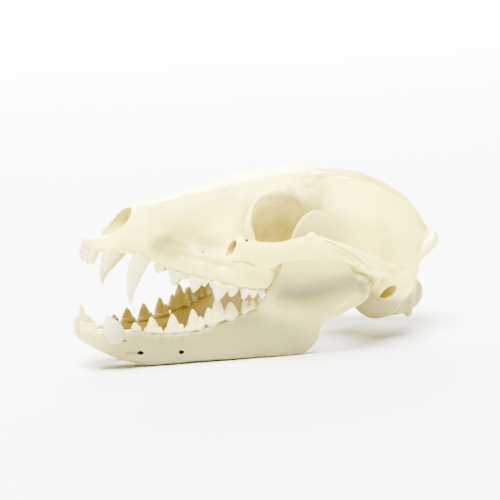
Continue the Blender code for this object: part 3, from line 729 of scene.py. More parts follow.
    def heap_body(self) -> Clay:
        """The broad forms: head, arch roots, ear capsules and the back of the head."""
        clay = Clay()
        places = np.concatenate([np.linspace(-0.4, 12.5, 22), np.linspace(13, 115.2, 110)])
        clay.skin(np.stack([self.ring(x, 96) for x in places]))
        clay.ball((111.6, 0, 22.6), (6.4, 11.8, 6.2))
        for side in Side:
            clay.side = side
            clay.bar(self.arch, self.arch_thick, self.arch_tall, steps=80, sides=24, blunt=30)
            clay.bar([(46.5, 17.6, 4.4), (50.5, 21.6, 8.4), (55, 25.6, 11.6)], (2.6, 2.0, 1.2), (3.4, 3.2, 2.2))
            clay.bar([(89.2, 14.0, 12.4), (87.8, 23.0, 12.9), (86.8, 28.6, 13.2)], (6.2, 5.6, 3.8), (3.2, 3.0, 2.4))
            clay.ball((97.4, 13.4, 4.6), (8.9, 7.4, 8.4))
            clay.bar([(101, 15.0, 2.6), (107.4, 16.6, 3.4)], (4.0, 3.2), (5.2, 3.6))
            clay.bar([(91.5, 24.6, 13.0), (98.5, 22.8, 11.8), (106, 20.4, 10.2)], (1.5, 1.7, 1.6), (2.0, 1.9, 1.6))
            clay.bar([(96.2, 14, 7.6), (96.1, 20, 7.1), (96.0, 23.6, 6.8)], (4.6, 4.3, 3.8), (4.6, 4.1, 3.7),
                     blunt=16)
            clay.ball((102.6, 19.6, 9.6), (3.6, 3.4, 5.0))
            clay.bar([(25, 7.6, 11.0), (19, 8.6, 7.6), (14.2, 9.0, 3.0)], (2.2, 2.8, 3.0), (2.6, 3.4, 3.6))
            clay.ball((113.6, 7.9, 6.6), (4.4, 4.0, 5.4), tilt=-12)
        return clay

    def add_fine(self, clay: Clay) -> None:
        """The thin forms: crests, rims, processes and the ridges that hold the teeth."""
        rings = []
        foot, top = Track(self.crest_foot), Track(self.crest)
        for x in np.linspace(72, 122.5, 60):
            high, half = top.one(x), foot.one(x)
            low = min(float(Track(self.core).at(min(x, 112.0))[0, 1]) - 3.0, high - 5.0)
            y = np.array([1, 0.72, 0.45, 0.24, 0.1, -0.1, -0.24, -0.45, -0.72, -1]) * half
            z = np.array([low, high - 3.2, high - 1.6, high - 0.5, high, high, high - 0.5, high - 1.6, high - 3.2,
                          low])
            rings.append(np.stack([np.full(10, x), y, z], axis=1))
        clay.skin(np.stack(rings))
        half_flange = ((99.8, 20.6, 10.6), (104.4, 18.5, 16.2), (110.8, 14.4, 21.2), (117.6, 8.0, 24.8))
        flange = Side.LEFT.place(half_flange) + [(120.8, 0, 26.0)] + Side.RIGHT.place(half_flange)[::-1]
        clay.bar(flange, (2.2, 2.0, 1.9, 1.9, 2.0, 1.9, 1.9, 2.0, 2.2),
                 (1.4, 1.7, 1.9, 2.1, 2.3, 2.1, 1.9, 1.7, 1.4), up=(0.2, 0, 1), steps=90)
        clay.ball((117.0, 0, 24.2), (2.6, 4.4, 2.4))
        arcade, gum = Track(UpperTeeth.arcade), Track(UpperTeeth.gum)
        for side in Side:
            clay.side = side
            brow = [(x, y, self.roof(x, y) - 0.4)
                    for x, y in ((62, 13.2), (66, 10.2), (70, 7.6), (76, 5.0), (83, 3.0))]
            clay.bar(brow, (1.6, 1.6, 1.6, 1.5, 1.0), (0.9, 1.0, 1.0, 0.9, 0.7))
            clay.bar([(46.6, 18.6, 13.0), (44.2, 17.4, 19.0), (46.2, 15.3, 24.8), (50.8, 13.4, 28.8),
                      (56.5, 13.4, 30.6), (62, 15.0, 30.6)],
                     (1.6, 1.1, 1.0, 1.0, 1.1, 1.3), (2.4, 1.3, 1.1, 1.1, 1.2, 1.2), up=(0.5, 0, 1), steps=50)
            clay.bar([(58, 11.0, 33.0), (61.5, 14.4, 31.2), (63.3, 16.8, 29.0)], (3.6, 3.2, 1.4), (2.6, 2.3, 1.2))
            clay.bar([(62.4, 14.6, 30.2), (66, 12.4, 29.8), (70, 11.2, 29.0)], (1.6, 1.8, 1.6), (2.4, 3.4, 3.6))
            clay.bar([(60.4, 31.0, 15.4), (60.2, 30.6, 18.4), (60.2, 29.9, 20.6)], (1.4, 1.2, 0.7), (3.8, 2.7, 0.9),
                     up=(1, 0, 0))
            clay.bar([(91.5, 14.0, 8.8), (90.2, 20.0, 8.9), (89.6, 26.0, 9.3)], (2.0, 1.9, 1.4), (3.6, 3.4, 2.4))
            clay.bar([(105.2, 17.6, 12.0), (106.6, 18.1, 5.0), (108.6, 17.8, -1.0)], (1.9, 1.7, 1.0),
                     (3.4, 2.8, 1.1), up=(1, 0, 0))
            clay.bar([(62.5, 6.6, 5.0), (69, 6.4, 3.6), (76.5, 5.8, 1.8)], (0.9, 0.9, 0.7), (4.0, 3.6, 2.4))
            ridge = [(x, arcade.one(x) - 0.2, gum.one(x) + 3.0) for x in (13.5, 20, 26, 32, 38, 44, 50, 57.5)]
            clay.bar(ridge, (2.3, 1.7, 1.7, 1.9, 2.2, 2.4, 2.6, 1.8), (3.0,) * 8, steps=60)
            inner = [(x, y - (0.7 + 0.03 * (x - 13)), z + 3.4) for x, y, z in ridge]
            clay.bar(inner, (2.2, 1.6, 1.6, 1.9, 2.3, 2.6, 2.4, 1.4), (4.2, 4.2, 4.2, 4.2, 4.0, 3.6, 3.0, 2.0),
                     steps=60)
            clay.bar([(40, 15.0, 7.0), (46, 18.8, 6.6), (51.5, 20.2, 5.6), (57.2, 18.0, 3.7)], (2.0, 2.0, 1.8, 0.9),
                     (4.4, 5.2, 5.6, 4.5), steps=40)

    def hollows(self) -> list[bpy.types.Object]:
        """Cutters for the nose, the throat, the braincase, the nerve openings, the ears and the joints."""
        brain = Clay()
        brain.skin(np.stack([self.ring(x, 48, self.wall, self.wall + 0.6) for x in np.linspace(*self.cavity, 30)]))
        cutters = [
            drill("nose", Paint.STAIN, 0.5,
                  [(-4, 0, 10.2), (3, 0, 10.5), (9, 0, 11.0), (13.4, 0, 11.5), (18, 0, 12.4), (24, 0, 13.4)],
                  (5.5, 5.4, 5.2, 4.7, 3.6, 2.4), (5.3, 5.3, 5.1, 4.3, 3.8, 3.2), sides=48, steps=60, blunt=30),
            brain.cutter("braincase", Paint.STAIN, 0.5),
            drill("spinal", Paint.STAIN, 0.6, [(104, 0, 11.0), (124, 0, 9.0)], (6.8, 6.8), (5.8, 5.8),
                  sides=48, steps=20, blunt=40),
            drill("throat", Paint.STAIN, 0.5, [(55, 0, 6.6), (66, 0, 5.6), (76, 0, 1.0)], (5.4, 5.4, 4.8),
                  (2.6, 3.6, 3.2), sides=32),
        ]
        for side in Side:
            orbit = Clay(side=side)
            orbit.ball((55.2, 18.8, 21.6), (10.6, 8.3, 9.6))
            cutters += [
                drill("socket", Paint.STAIN, 0.25, [(84.75, 15.4, 7.86), (84.75, 33.4, 7.86)], (2.95, 2.95),
                      (2.95, 2.95), side, sides=40, blunt=40),
                drill("ear", Paint.STAIN, 0.5, [(96.0, 15.5, 6.4), (96.0, 26.5, 6.4)], (1.4, 1.7), (2.8, 3.3), side,
                      sides=32, blunt=30, up=(0.7, 0, 0.7)),
                orbit.cutter("orbit", Paint.STAIN, 0.36),
                drill("nerve", Paint.STAIN, 0.55,
                      [(46, 13.6, 11.2), (42.2, 15.8, 10.5), (39, 17.6, 10.0), (35, 19.0, 9.4)],
                      (0.8, 1.1, 1.4, 1.3), (1.8, 2.4, 2.6, 2.0), side, sides=32),
            ]
        return cutters

    def pits(self) -> list[bpy.types.Object]:
        """Cutters for the small openings of the cheek, which paint their walls dark as painted shade."""
        places = (44.6, 18.4, 13.6, 0.42), (33.2, 13.7, 7.2, 0.34), (30.0, 11.4, 12.6, 0.22)
        return [drill("pit", Paint.LINE, 0.9, [(x + 0.8, y - 2.2, z), (x - 0.6, y + 1.8, z)], (size, size),
                      (size, size), side, sides=16, steps=12)
                for side in Side for x, y, z, size in places]

    def carve(self, chisel: Chisel) -> None:
        """Fossae, sutures, small openings, ochre staining and painted shade, on both sides alike."""
        chisel.ripple(0.10, 7, 22, 11)
        arcade, gum = Track(UpperTeeth.arcade), Track(UpperTeeth.gum)
        for side in Side:
            chisel.side = side
            chisel.dent((29, 10.5, 9.5), (10, 6, 6.5), 1.3)
            chisel.dent((35.5, 14.2, 9.6), (7, 5, 3.8), 1.9, stain=0.12)
            # Painted shade on the fossa in front of the eye.
            chisel.wash(Paint.SHADE, (29, 11.5, 8.6), (13.5, 9, 5.8), 0.35, 0.75)
            chisel.wash(Paint.SHADE, (23.0, 11, 6.8), (11.5, 9, 5.8), 0.72, 0.65)
            chisel.dent((40, 12, 21), (9, 7, 7), 0.5)
            for x, lift in ((22, 0.3), (27.5, 0.4), (33.5, 0.45), (40.0, 0.5), (49, 0.3)):
                chisel.dent((x, arcade.one(x) + 2.0, 2.6), (1.8, 2.6, 3.4), -lift)
            chisel.stroke([(13, 2.6, 16.6), (20, 3.2, 19.4), (28, 3.6, 23.0), (36, 3.4, 27.2), (44, 2.2, 30.8)],
                          0.9, 0.16, line=0.22)
            chisel.stroke([(10.5, 5.4, 13.4), (15, 5.6, 15.4), (21, 5.0, 17.8)], 0.8, 0.12, line=0.16)
            chisel.stroke([(44, 2.2, 30.8), (46, 5, 30.4), (46, 9, 29.0), (45, 12.6, 26.6), (46.8, 15.4, 24.4)],
                          0.9, 0.14, line=0.2)
            chisel.stroke([(46.6, 17.6, 21.5), (47.0, 16.4, 24.0), (48.4, 15.2, 26.0)], 0.7, 0.1, line=0.3)
            chisel.stroke([(41.6, 18.4, 6.2), (44.6, 20.2, 6.9), (47.9, 21.8, 6.5), (52, 21.9, 6.7),
                           (55.0, 20.6, 6.2), (57.0, 19.2, 4.8), (57.4, 18.8, 2.0)], 0.6, 0.25, line=0.85)
            chisel.dent((49, 21.5, 3.6), (7, 4, 3.4), 0.5)
            # Painted shade on the low wall above the last teeth, under the root of the arch.
            chisel.wash(Paint.SHADE, (50, 20, 2.4), (8, 6, 3.4), 0.3, 0.8)
            chisel.stroke([(63.4, 33.2, 18.9), (67.5, 34.2, 18.0), (72.3, 34.7, 16.5), (77.5, 34.3, 14.6),
                           (81.8, 32.6, 12.8)], 0.55, 0.28, line=0.75)
            chisel.stroke([(65.0, 33.6, 17.2), (70.0, 34.6, 15.9), (75.4, 34.6, 13.9), (79.4, 33.6, 12.2)],
                          0.5, 0.2, line=0.55)
            chisel.wash(Paint.STAIN, (56, 8, 18), (10.8, 7, 12), 0.38, 0.35)
            chisel.stroke([(74, 13, 36.6), (79, 17.6, 31), (82, 19.8, 24), (83, 19.6, 17)], 1.0, 0.08, line=0.05)
            chisel.stroke([(64, 10.2, 36.8), (70, 9.0, 38.2), (78, 8.4, 38.6), (88, 7.6, 39.2), (98, 6.6, 38.6),
                           (106, 5.8, 36.4), (113, 6.6, 31.5)], 1.1, -0.22, line=0.07, stain=0.14)
            # Painted shade on the ear capsule and the process behind it, which face down.
            chisel.wash(Paint.SHADE, (97, 15, -1), (14, 15, 10.5), 1.0, 0.45)
            chisel.wash(Paint.SHADE, (108, 15, 2), (10, 11, 12), 0.9, 0.5)
            chisel.wash(Paint.STAIN, (90, 24, 7), (4, 7, 4), 0.3, 0.8)
            # Painted shade on the knob of the joint with the neck.
            chisel.wash(Paint.SHADE, (114, 8, 5), (6, 7, 8), 0.85, 0.5)
            chisel.wash(Paint.STAIN, (57.6, 18.4, 3.4), (1.7, 2.6, 3.8), 0.9, 0.8)
            chisel.stroke([(105.6, 20.0, 9.5), (107.2, 19.6, 4.5), (108.6, 18.8, 0.5)], 1.1, -0.35)
            # Painted shade: a dark line pressed along the gum, in the crevice where the teeth meet the bone.
            chisel.stroke([(x, arcade.one(x) + 2.4, gum.one(x) + 0.3) for x in (20, 26, 32, 38, 44, 50, 56)],
                          0.7, 0.12, line=0.3)
            chisel.stroke([(62.6, 10.6, 35.6), (62.8, 13.4, 33.0), (63.2, 16.2, 30.2)], 0.9, -0.3)
            chisel.stroke([(64.2, 10.4, 35.8), (64.4, 13.0, 33.0), (64.8, 15.2, 30.4)], 1.2, 0.3, line=0.08,
                          stain=0.16)
            chisel.wash(Paint.STAIN, (57, 12.5, 27.5), (8, 5, 3.4), 0.44, 0.6)
            chisel.dent((52, 10, 10), (8, 9, 7), 0.2, stain=0.30)
        chisel.stroke([(13, 0, 16.8), (26, 0, 22.4), (40, 0, 29.0), (50, 0, 33.6)], 1.2, 0.22, line=0.12)
        chisel.dent((53, 0, 36), (13, 6, 6), 0.7)

    def build(self) -> dict[str, bpy.types.Object]:
        """Models the cranium and parts it.

        Returns:
            The bones by node name, still in the cranium's frame.
        """
        clay = Clay()
        clay.take(self.heap_body().fuse("cranium", self.body_voxel, 14))
        self.add_fine(clay)
        whole = clay.fuse("cranium", self.voxel, 5)
        log.info("cranium skin: %d faces", len(whole.data.polygons))
        chisel = Chisel(whole)
        self.carve(chisel)
        chisel.calm()
        chisel.write()
        chisel.find_hollows()
        chisel.write()
        pieces = loose_pieces(cut(whole, self.hollows() + self.pits() + self.sutures()))
        arches = [p for p in pieces if abs(middle_of(p, 1)) > self.arch_from]
        heads = sorted([p for p in pieces if p not in arches],
                       key=lambda p: -len(p.data.vertices))[:len(self.bones)]
        named = dict(zip(self.bones, sorted(heads, key=lambda p: middle_of(p, 0))))
        for piece in arches:
            side = Side.LEFT if middle_of(piece, 1) < 0 else Side.RIGHT
            known = named.get(f"zygomatic_arch_{side.label}")
            if known is None or len(known.data.vertices) < len(piece.data.vertices):
                named[f"zygomatic_arch_{side.label}"] = piece
        for piece in pieces:
            if piece not in named.values():
                bpy.data.objects.remove(piece)
        return named

    def sutures(self) -> list[bpy.types.Object]:
        """Thin slabs that part the cranium where the solids are parted."""
        slabs = []
        for turn, about, span in ((-28.2, (52.5, 0, 17), 21.5), (5, (70, 0, 20), 19), (21.6, (109.3, 0, 17), 60)):
            shape = Matrix.Translation(about) @ Matrix.Rotation(math.radians(turn), 4, "Y")
            slabs.append(slab(shape, (HAIRLINE, 2 * span, 160)))
        middle = path_track(self.arch)
        for side in Side:
            for t in self.cut_places:
                here = middle.at(t)[0] * np.array([1, side.value, 1])
                along = (middle.at(t + 0.01) - middle.at(t - 0.01))[0] * np.array([1, side.value, 1])
                turn = Vector(along).to_track_quat("X", "Z").to_matrix().to_4x4()
                slabs.append(slab(Matrix.Translation(here) @ turn, (HAIRLINE, 9.0, 14.0)))
        return slabs


def slab(shape: Matrix, size: Point) -> bpy.types.Object:
    """A thin block that parts what it passes through."""
    mesh = bmesh.new()
    bmesh.ops.create_cube(mesh, size=1, matrix=shape @ Matrix.Diagonal((*size, 1)))
    return tint_all(as_object(mesh, "slab"), {})


@dataclass(frozen=True)
class Cusp:
    """One point of a tooth: its place along the crown from -1 to 1, its height, and its share of the length."""

    at: float
    height: float
    spread: float = 0.5
    inward: float = 0.0


@dataclass(frozen=True)
class CheekTooth:
    """A tooth of the row behind the canine."""

    front: float
    rear: float
    half: float
    cusps: tuple[Cusp, ...]
    lobe: float = 0.0


@dataclass
class ToothRow:
    """What the upper and the lower rows share: how a crown is heaped up from its cusps.

    Attributes:
        way: 1 where crowns stand up, -1 where they hang.
        arcade_track: How far from the middle of the head the row stands.
        gum_track: How high the bone reaches up the teeth.
        shift: How far a side's row is moved back.
        greyed: A side's patches of painted shade, each with its centre, radii and amount.
        voxel: Size of the grid that the skin is drawn through.
        seed: Starts the dice for the unevenness of the enamel.
        stains: How much ochre painted shade the tongue's side of each row carries.
    """

    way: float
    arcade_track: Track
    gum_track: Track
    shift: dict[Side, float] = field(default_factory=dict)
    greyed: dict[Side, tuple[tuple[Point, Point, float], ...]] = field(default_factory=dict)
    voxel: float = 0.19
    seed: int = 0
    stains: dict[Side, float] = field(default_factory=dict)

    def spot(self, x: float, inward: float, up: float, side: Side) -> Point:
        """A point of the row: at x, some way in towards the tongue, and some way up the crown."""
        slope = self.arcade_track.one(x + 0.5) - self.arcade_track.one(x - 0.5)
        length = math.hypot(1, slope)
        y = self.arcade_track.one(x) - inward / length
        return (x + inward * slope / length, side.value * y, self.gum_track.one(x) + self.way * up)

    def crown(self, clay: Clay, tooth: CheekTooth, side: Side) -> None:
        """Heaps up one crown with its cusps, its girdle and its roots."""
        middle, length = (tooth.front + tooth.rear) / 2, (tooth.rear - tooth.front) / 2
        ends = [self.spot(tooth.front + 0.35, 0, 0.55, side), self.spot(middle, 0, 0.75, side),
                self.spot(tooth.rear - 0.35, 0, 0.55, side)]
        clay.bar(ends, (tooth.half * 0.86, tooth.half * 1.0, tooth.half * 0.86), (0.75, 0.95, 0.75), sides=18,
                 blunt=5)
        for cusp in tooth.cusps:
            x = middle + cusp.at * length
            base = self.spot(x, cusp.inward, -0.2, side)
            waist = self.spot(x, cusp.inward + 0.04, cusp.height * 0.5, side)
            tip = self.spot(x - 0.12, cusp.inward + 0.1, cusp.height, side)
            reach = length * cusp.spread
            clay.bar([base, waist, tip], (reach, reach * 0.63, 0.42), (tooth.half * 0.95, tooth.half * 0.70, 0.36),
                     up=(0, 1, 0), sides=18, steps=22, blunt=7)
        for share in ((-0.5, 0.5) if length > 2.2 else (0.0,)):
            x = middle + share * length
            clay.bar([self.spot(x, 0, 0.9, side), self.spot(x, 0, -2.4, side)], (length * 0.42, length * 0.3),
                     (tooth.half * 0.8, tooth.half * 0.6), up=(0, 1, 0), sides=14, steps=10)
        if tooth.lobe:
            clay.bar([self.spot(middle - 0.2, 0, 0.4, side), self.spot(middle + 0.3, tooth.lobe, 0.4, side)],
                     (length * 0.86, length * 0.5), (1.1, 1.1), sides=18)
            for shift, inward in ((-0.35, tooth.lobe * 0.62), (0.35, tooth.lobe * 0.6)):
                x = middle + shift * length
                clay.bar([self.spot(x, inward, 0.2, side), self.spot(x, inward, 2.0, side)], (1.2, 0.35),
                         (1.2, 0.35), up=(0, 1, 0), sides=14, steps=12, blunt=4)

    def peg(self, clay: Clay, points: Sequence[Point], across: Sequence[float], along: Sequence[float], side: Side,
            blunt: float = 8.0) -> None:
        """A front tooth or canine, as a tapering bent bar."""
        clay.bar(side.place(points), across, along, up=(-1, 0, 0), sides=26, steps=44, blunt=blunt)

    def finish(self, clay: Clay, name: str, side: Side) -> bpy.types.Object:
        """Fuses a row and tints it with painted shade: warm at the gum and in hollows, ochre on the tongue's side,
        and darker on some patches.
        """
        made = clay.fuse(name, self.voxel, 3)
        chisel = Chisel(made)
        chisel.co[:, 0] += self.shift.get(side, 0.0)
        chisel.ripple(0.02, 1.5, 5, self.seed)
        chisel.write()
        chisel.find_hollows()
        # Painted shade: hollows, and a band reaching 1.6 up from the gum, warmed.
        up = self.way * (chisel.co[:, 2] - self.gum_track.at(chisel.co[:, 0])[:, 0])
        low = np.clip(1 - up / 1.6, 0, 1)
        chisel.tint[Paint.HOLLOW] = np.maximum(chisel.tint[Paint.HOLLOW] * 0.5, low * 0.8)
        # Painted shade: the tongue's side of the row is darkened ochre, more on the right side, with a faint ochre
        # band right at the gum.
        lift = 0.35 if side is Side.RIGHT else 0.0
        inner = np.clip(-chisel.normals[:, 1] * side.value + lift, 0, 1)
        inner *= np.clip((chisel.co[:, 0] - 11.0) / 5.0, 0.25, 1)
        chisel.tint[Paint.STAIN] = np.maximum(inner * self.stains[side], np.clip(0.25 - up, 0, 1) * 0.25)
        # A little of the shade paint on every tooth, and painted shade on the patches.
        chisel.tint[Paint.SHADE] += 0.12
        for centre, radii, amount in self.greyed.get(side, ()):
            chisel.wash(Paint.SHADE, centre, radii, amount, 0.8)
        chisel.write()
        return made


@dataclass
class UpperTeeth(ToothRow):
    """The teeth of the upper jaw."""

    arcade = ((14, 9.4), (20, 10.0), (24, 10.6), (30, 11.9), (36, 14.0), (42, 16.6), (46, 18.2), (50, 18.8),
              (53, 17.9), (57, 15.0))
    gum = ((12, 2.2), (19, 0.9), (23, 0.3), (29, -0.7), (35, -0.8), (40, -1.0), (46, -1.2), (52, -0.7), (58, 0.2))
    cheek = (
        CheekTooth(19.3, 23.3, 1.3, (Cusp(-0.1, 2.8, 0.95),)),
        CheekTooth(24.0, 30.2, 1.5, (Cusp(-0.1, 4.6, 0.9), Cusp(0.72, 1.9, 0.36), Cusp(-0.74, 1.3, 0.3))),
        CheekTooth(30.3, 36.9, 1.65, (Cusp(-0.1, 5.0, 0.9), Cusp(0.70, 2.4, 0.36), Cusp(-0.76, 1.4, 0.28))),
        CheekTooth(37.1, 45.8, 2.2, (Cusp(-0.24, 6.1, 0.74), Cusp(0.58, 3.5, 0.52), Cusp(-0.75, 2.4, 0.3, 2.4))),
        CheekTooth(46.1, 52.4, 2.1, (Cusp(-0.45, 3.6, 0.48), Cusp(0.5, 3.0, 0.45)), 6.2),
        CheekTooth(52.7, 57.0, 1.7, (Cusp(-0.4, 2.4, 0.5), Cusp(0.5, 1.8, 0.45)), 4.6),
    )
    far_cheek = (CheekTooth(30.3, 36.9, 1.65, (Cusp(-0.1, 2.4, 0.9), Cusp(0.70, 1.5, 0.36))), *cheek[3:])
    canine_tip = {Side.LEFT: -13.1, Side.RIGHT: -10.4}
    canine_lean = {Side.LEFT: 0.0, Side.RIGHT: -1.2}

    def __init__(self) -> None:
        """Sets the row's curves."""
        super().__init__(-1.0, Track(self.arcade), Track(self.gum), seed=31,
                         stains={Side.LEFT: 0.3, Side.RIGHT: 0.55})

    def build(self, side: Side) -> bpy.types.Object:
        """One side's teeth."""
        clay = Clay()
        for tooth in self.far_cheek if side is Side.RIGHT else self.cheek:
            self.crown(clay, tooth, side)
        for path, across, along in (
            ([(2.4, 1.47, 3.5), (1.5, 1.45, 1.5), (0.8, 1.4, -1.3), (1.2, 1.4, -3.4)], (1.0, 1.2, 1.25, 0.9),
             (1.2, 1.35, 1.2, 0.45)),
            ([(2.9, 4.0, 3.2), (2.2, 4.0, 1.5), (1.6, 3.95, -1.3), (2.0, 3.9, -3.7)], (1.05, 1.3, 1.3, 0.8),
             (1.3, 1.5, 1.35, 0.5)),
            ([(6.9, 5.8, 4.2), (6.2, 6.7, 1.8), (4.9, 7.0, -1.0), (5.1, 6.8, -4.6)], (0.7, 1.6, 1.5, 0.5),
             (1.0, 2.1, 1.7, 0.45)),
        ):
            self.peg(clay, path, across, along, side)
        tip, lean = self.canine_tip[side], self.canine_lean[side]
        self.peg(clay, [(17.6, 8.0, 6.2), (15.7, 9.1, 2.6), (13.9 + 0.4 * lean, 9.9, tip * 0.26),
                        (13.5 + 0.8 * lean, 10.5, tip * 0.62), (14.4 + 1.3 * lean, 10.8, tip)],
                 (0.9, 2.0, 1.9, 1.2, 0.3), (1.6, 3.1, 2.5, 1.5, 0.35), side)
        return self.finish(clay, f"upper_teeth_{side.label}", side)


@dataclass
class LowerTeeth(ToothRow):
    """The teeth of the lower jaw."""

    arcade = ((13, 7.3), (17, 8.3), (20, 9.1), (27, 10.7), (33, 12.2), (38, 13.3), (44, 14.4), (50, 15.8),
              (57, 17.6))
    gum = ((11, 12.1), (15, 11.8), (21, 10.7), (27, 10.1), (34, 10.5), (40, 12.3), (46, 13.6), (51, 15.3),
           (57, 17.8))
    cheek = (
        CheekTooth(14.2, 18.0, 1.2, (Cusp(-0.1, 2.6, 0.95),)),
        CheekTooth(18.3, 24.3, 1.4, (Cusp(-0.1, 4.9, 0.9), Cusp(0.72, 1.8, 0.34), Cusp(-0.76, 1.2, 0.28))),
        CheekTooth(24.5, 30.9, 1.55, (Cusp(-0.1, 6.0, 0.88), Cusp(0.70, 2.5, 0.36), Cusp(-0.76, 1.5, 0.28))),
        CheekTooth(30.9, 37.1, 1.7, (Cusp(-0.1, 6.6, 0.86), Cusp(0.64, 3.7, 0.38), Cusp(-0.78, 1.6, 0.26))),
        CheekTooth(37.0, 48.4, 2.2, (Cusp(-0.72, 5.4, 0.4), Cusp(-0.24, 7.7, 0.5), Cusp(0.48, 5.0, 0.52),
                                     Cusp(0.0, 4.4, 0.26, 1.4))),
        CheekTooth(48.2, 53.6, 1.8, (Cusp(-0.4, 3.8, 0.55), Cusp(0.5, 2.8, 0.5), Cusp(-0.1, 3.2, 0.4, 1.2))),
        CheekTooth(53.7, 56.2, 1.2, (Cusp(0.0, 1.5, 0.7),)),
    )

    def __init__(self) -> None:
        """Sets the row's curves."""
        # The lower left canine carries a patch of painted shade.
        super().__init__(1.0, Track(self.arcade), Track(self.gum), {Side.RIGHT: -0.6},
                         {Side.LEFT: (((10.0, -9.0, 11.5), (7, 7, 8), 0.95),)}, seed=47,
                         stains={Side.LEFT: 0.5, Side.RIGHT: 1.0})

    def build(self, side: Side) -> bpy.types.Object:
        """One side's teeth."""
        clay = Clay()
        for tooth in self.cheek:
            self.crown(clay, tooth, side)
        if side is Side.RIGHT:
            for x, high, along in ((45.0, 5.4, 2.6), (48.6, 4.9, 2.4), (51.4, 4.6, 2.2)):
                clay.bar([self.spot(x, 0.2, -0.4, side), self.spot(x, 0.3, high, side)], (along, along * 0.55),
                         (1.9, 1.2), up=(0, 1, 0), sides=18, steps=16, blunt=5)
        for path, across, along in (
            ([(3.0, 1.25, 9.0), (1.5, 1.2, 12.4), (0.7, 1.2, 15.5)], (0.9, 1.0, 0.8), (1.1, 1.1, 0.5)),
            ([(3.4, 3.3, 9.0), (1.9, 3.3, 12.4), (1.1, 3.3, 15.7)], (1.0, 1.15, 0.9), (1.2, 1.2, 0.5)),
            ([(4.8, 5.0, 9.0), (3.3, 5.3, 12.6), (2.6, 5.6, 15.7)], (1.1, 1.3, 0.8), (1.3, 1.4, 0.5)),
        ):
            self.peg(clay, path, across, along, side)
        if side is Side.LEFT:
            self.peg(clay, [(11.1, 6.2, 7.2), (9.8, 7.3, 9.8), (8.3, 8.3, 12.8), (6.9, 9.2, 15.6),
                            (6.3, 9.8, 18.0)], (2.2, 2.7, 2.7, 1.9, 0.8), (2.8, 3.5, 3.2, 2.0, 0.8), side,
                     blunt=3.5)
        else:
            self.peg(clay, [(13.0, 5.6, 4.0), (9.5, 6.6, 8.4), (7.2, 8.0, 12.2), (5.8, 9.3, 15.4),
                            (5.9, 10.2, 18.5)], (1.9, 2.1, 1.8, 1.1, 0.3), (2.4, 2.5, 1.9, 1.1, 0.3), side)
        return self.finish(clay, f"lower_teeth_{side.label}", side)


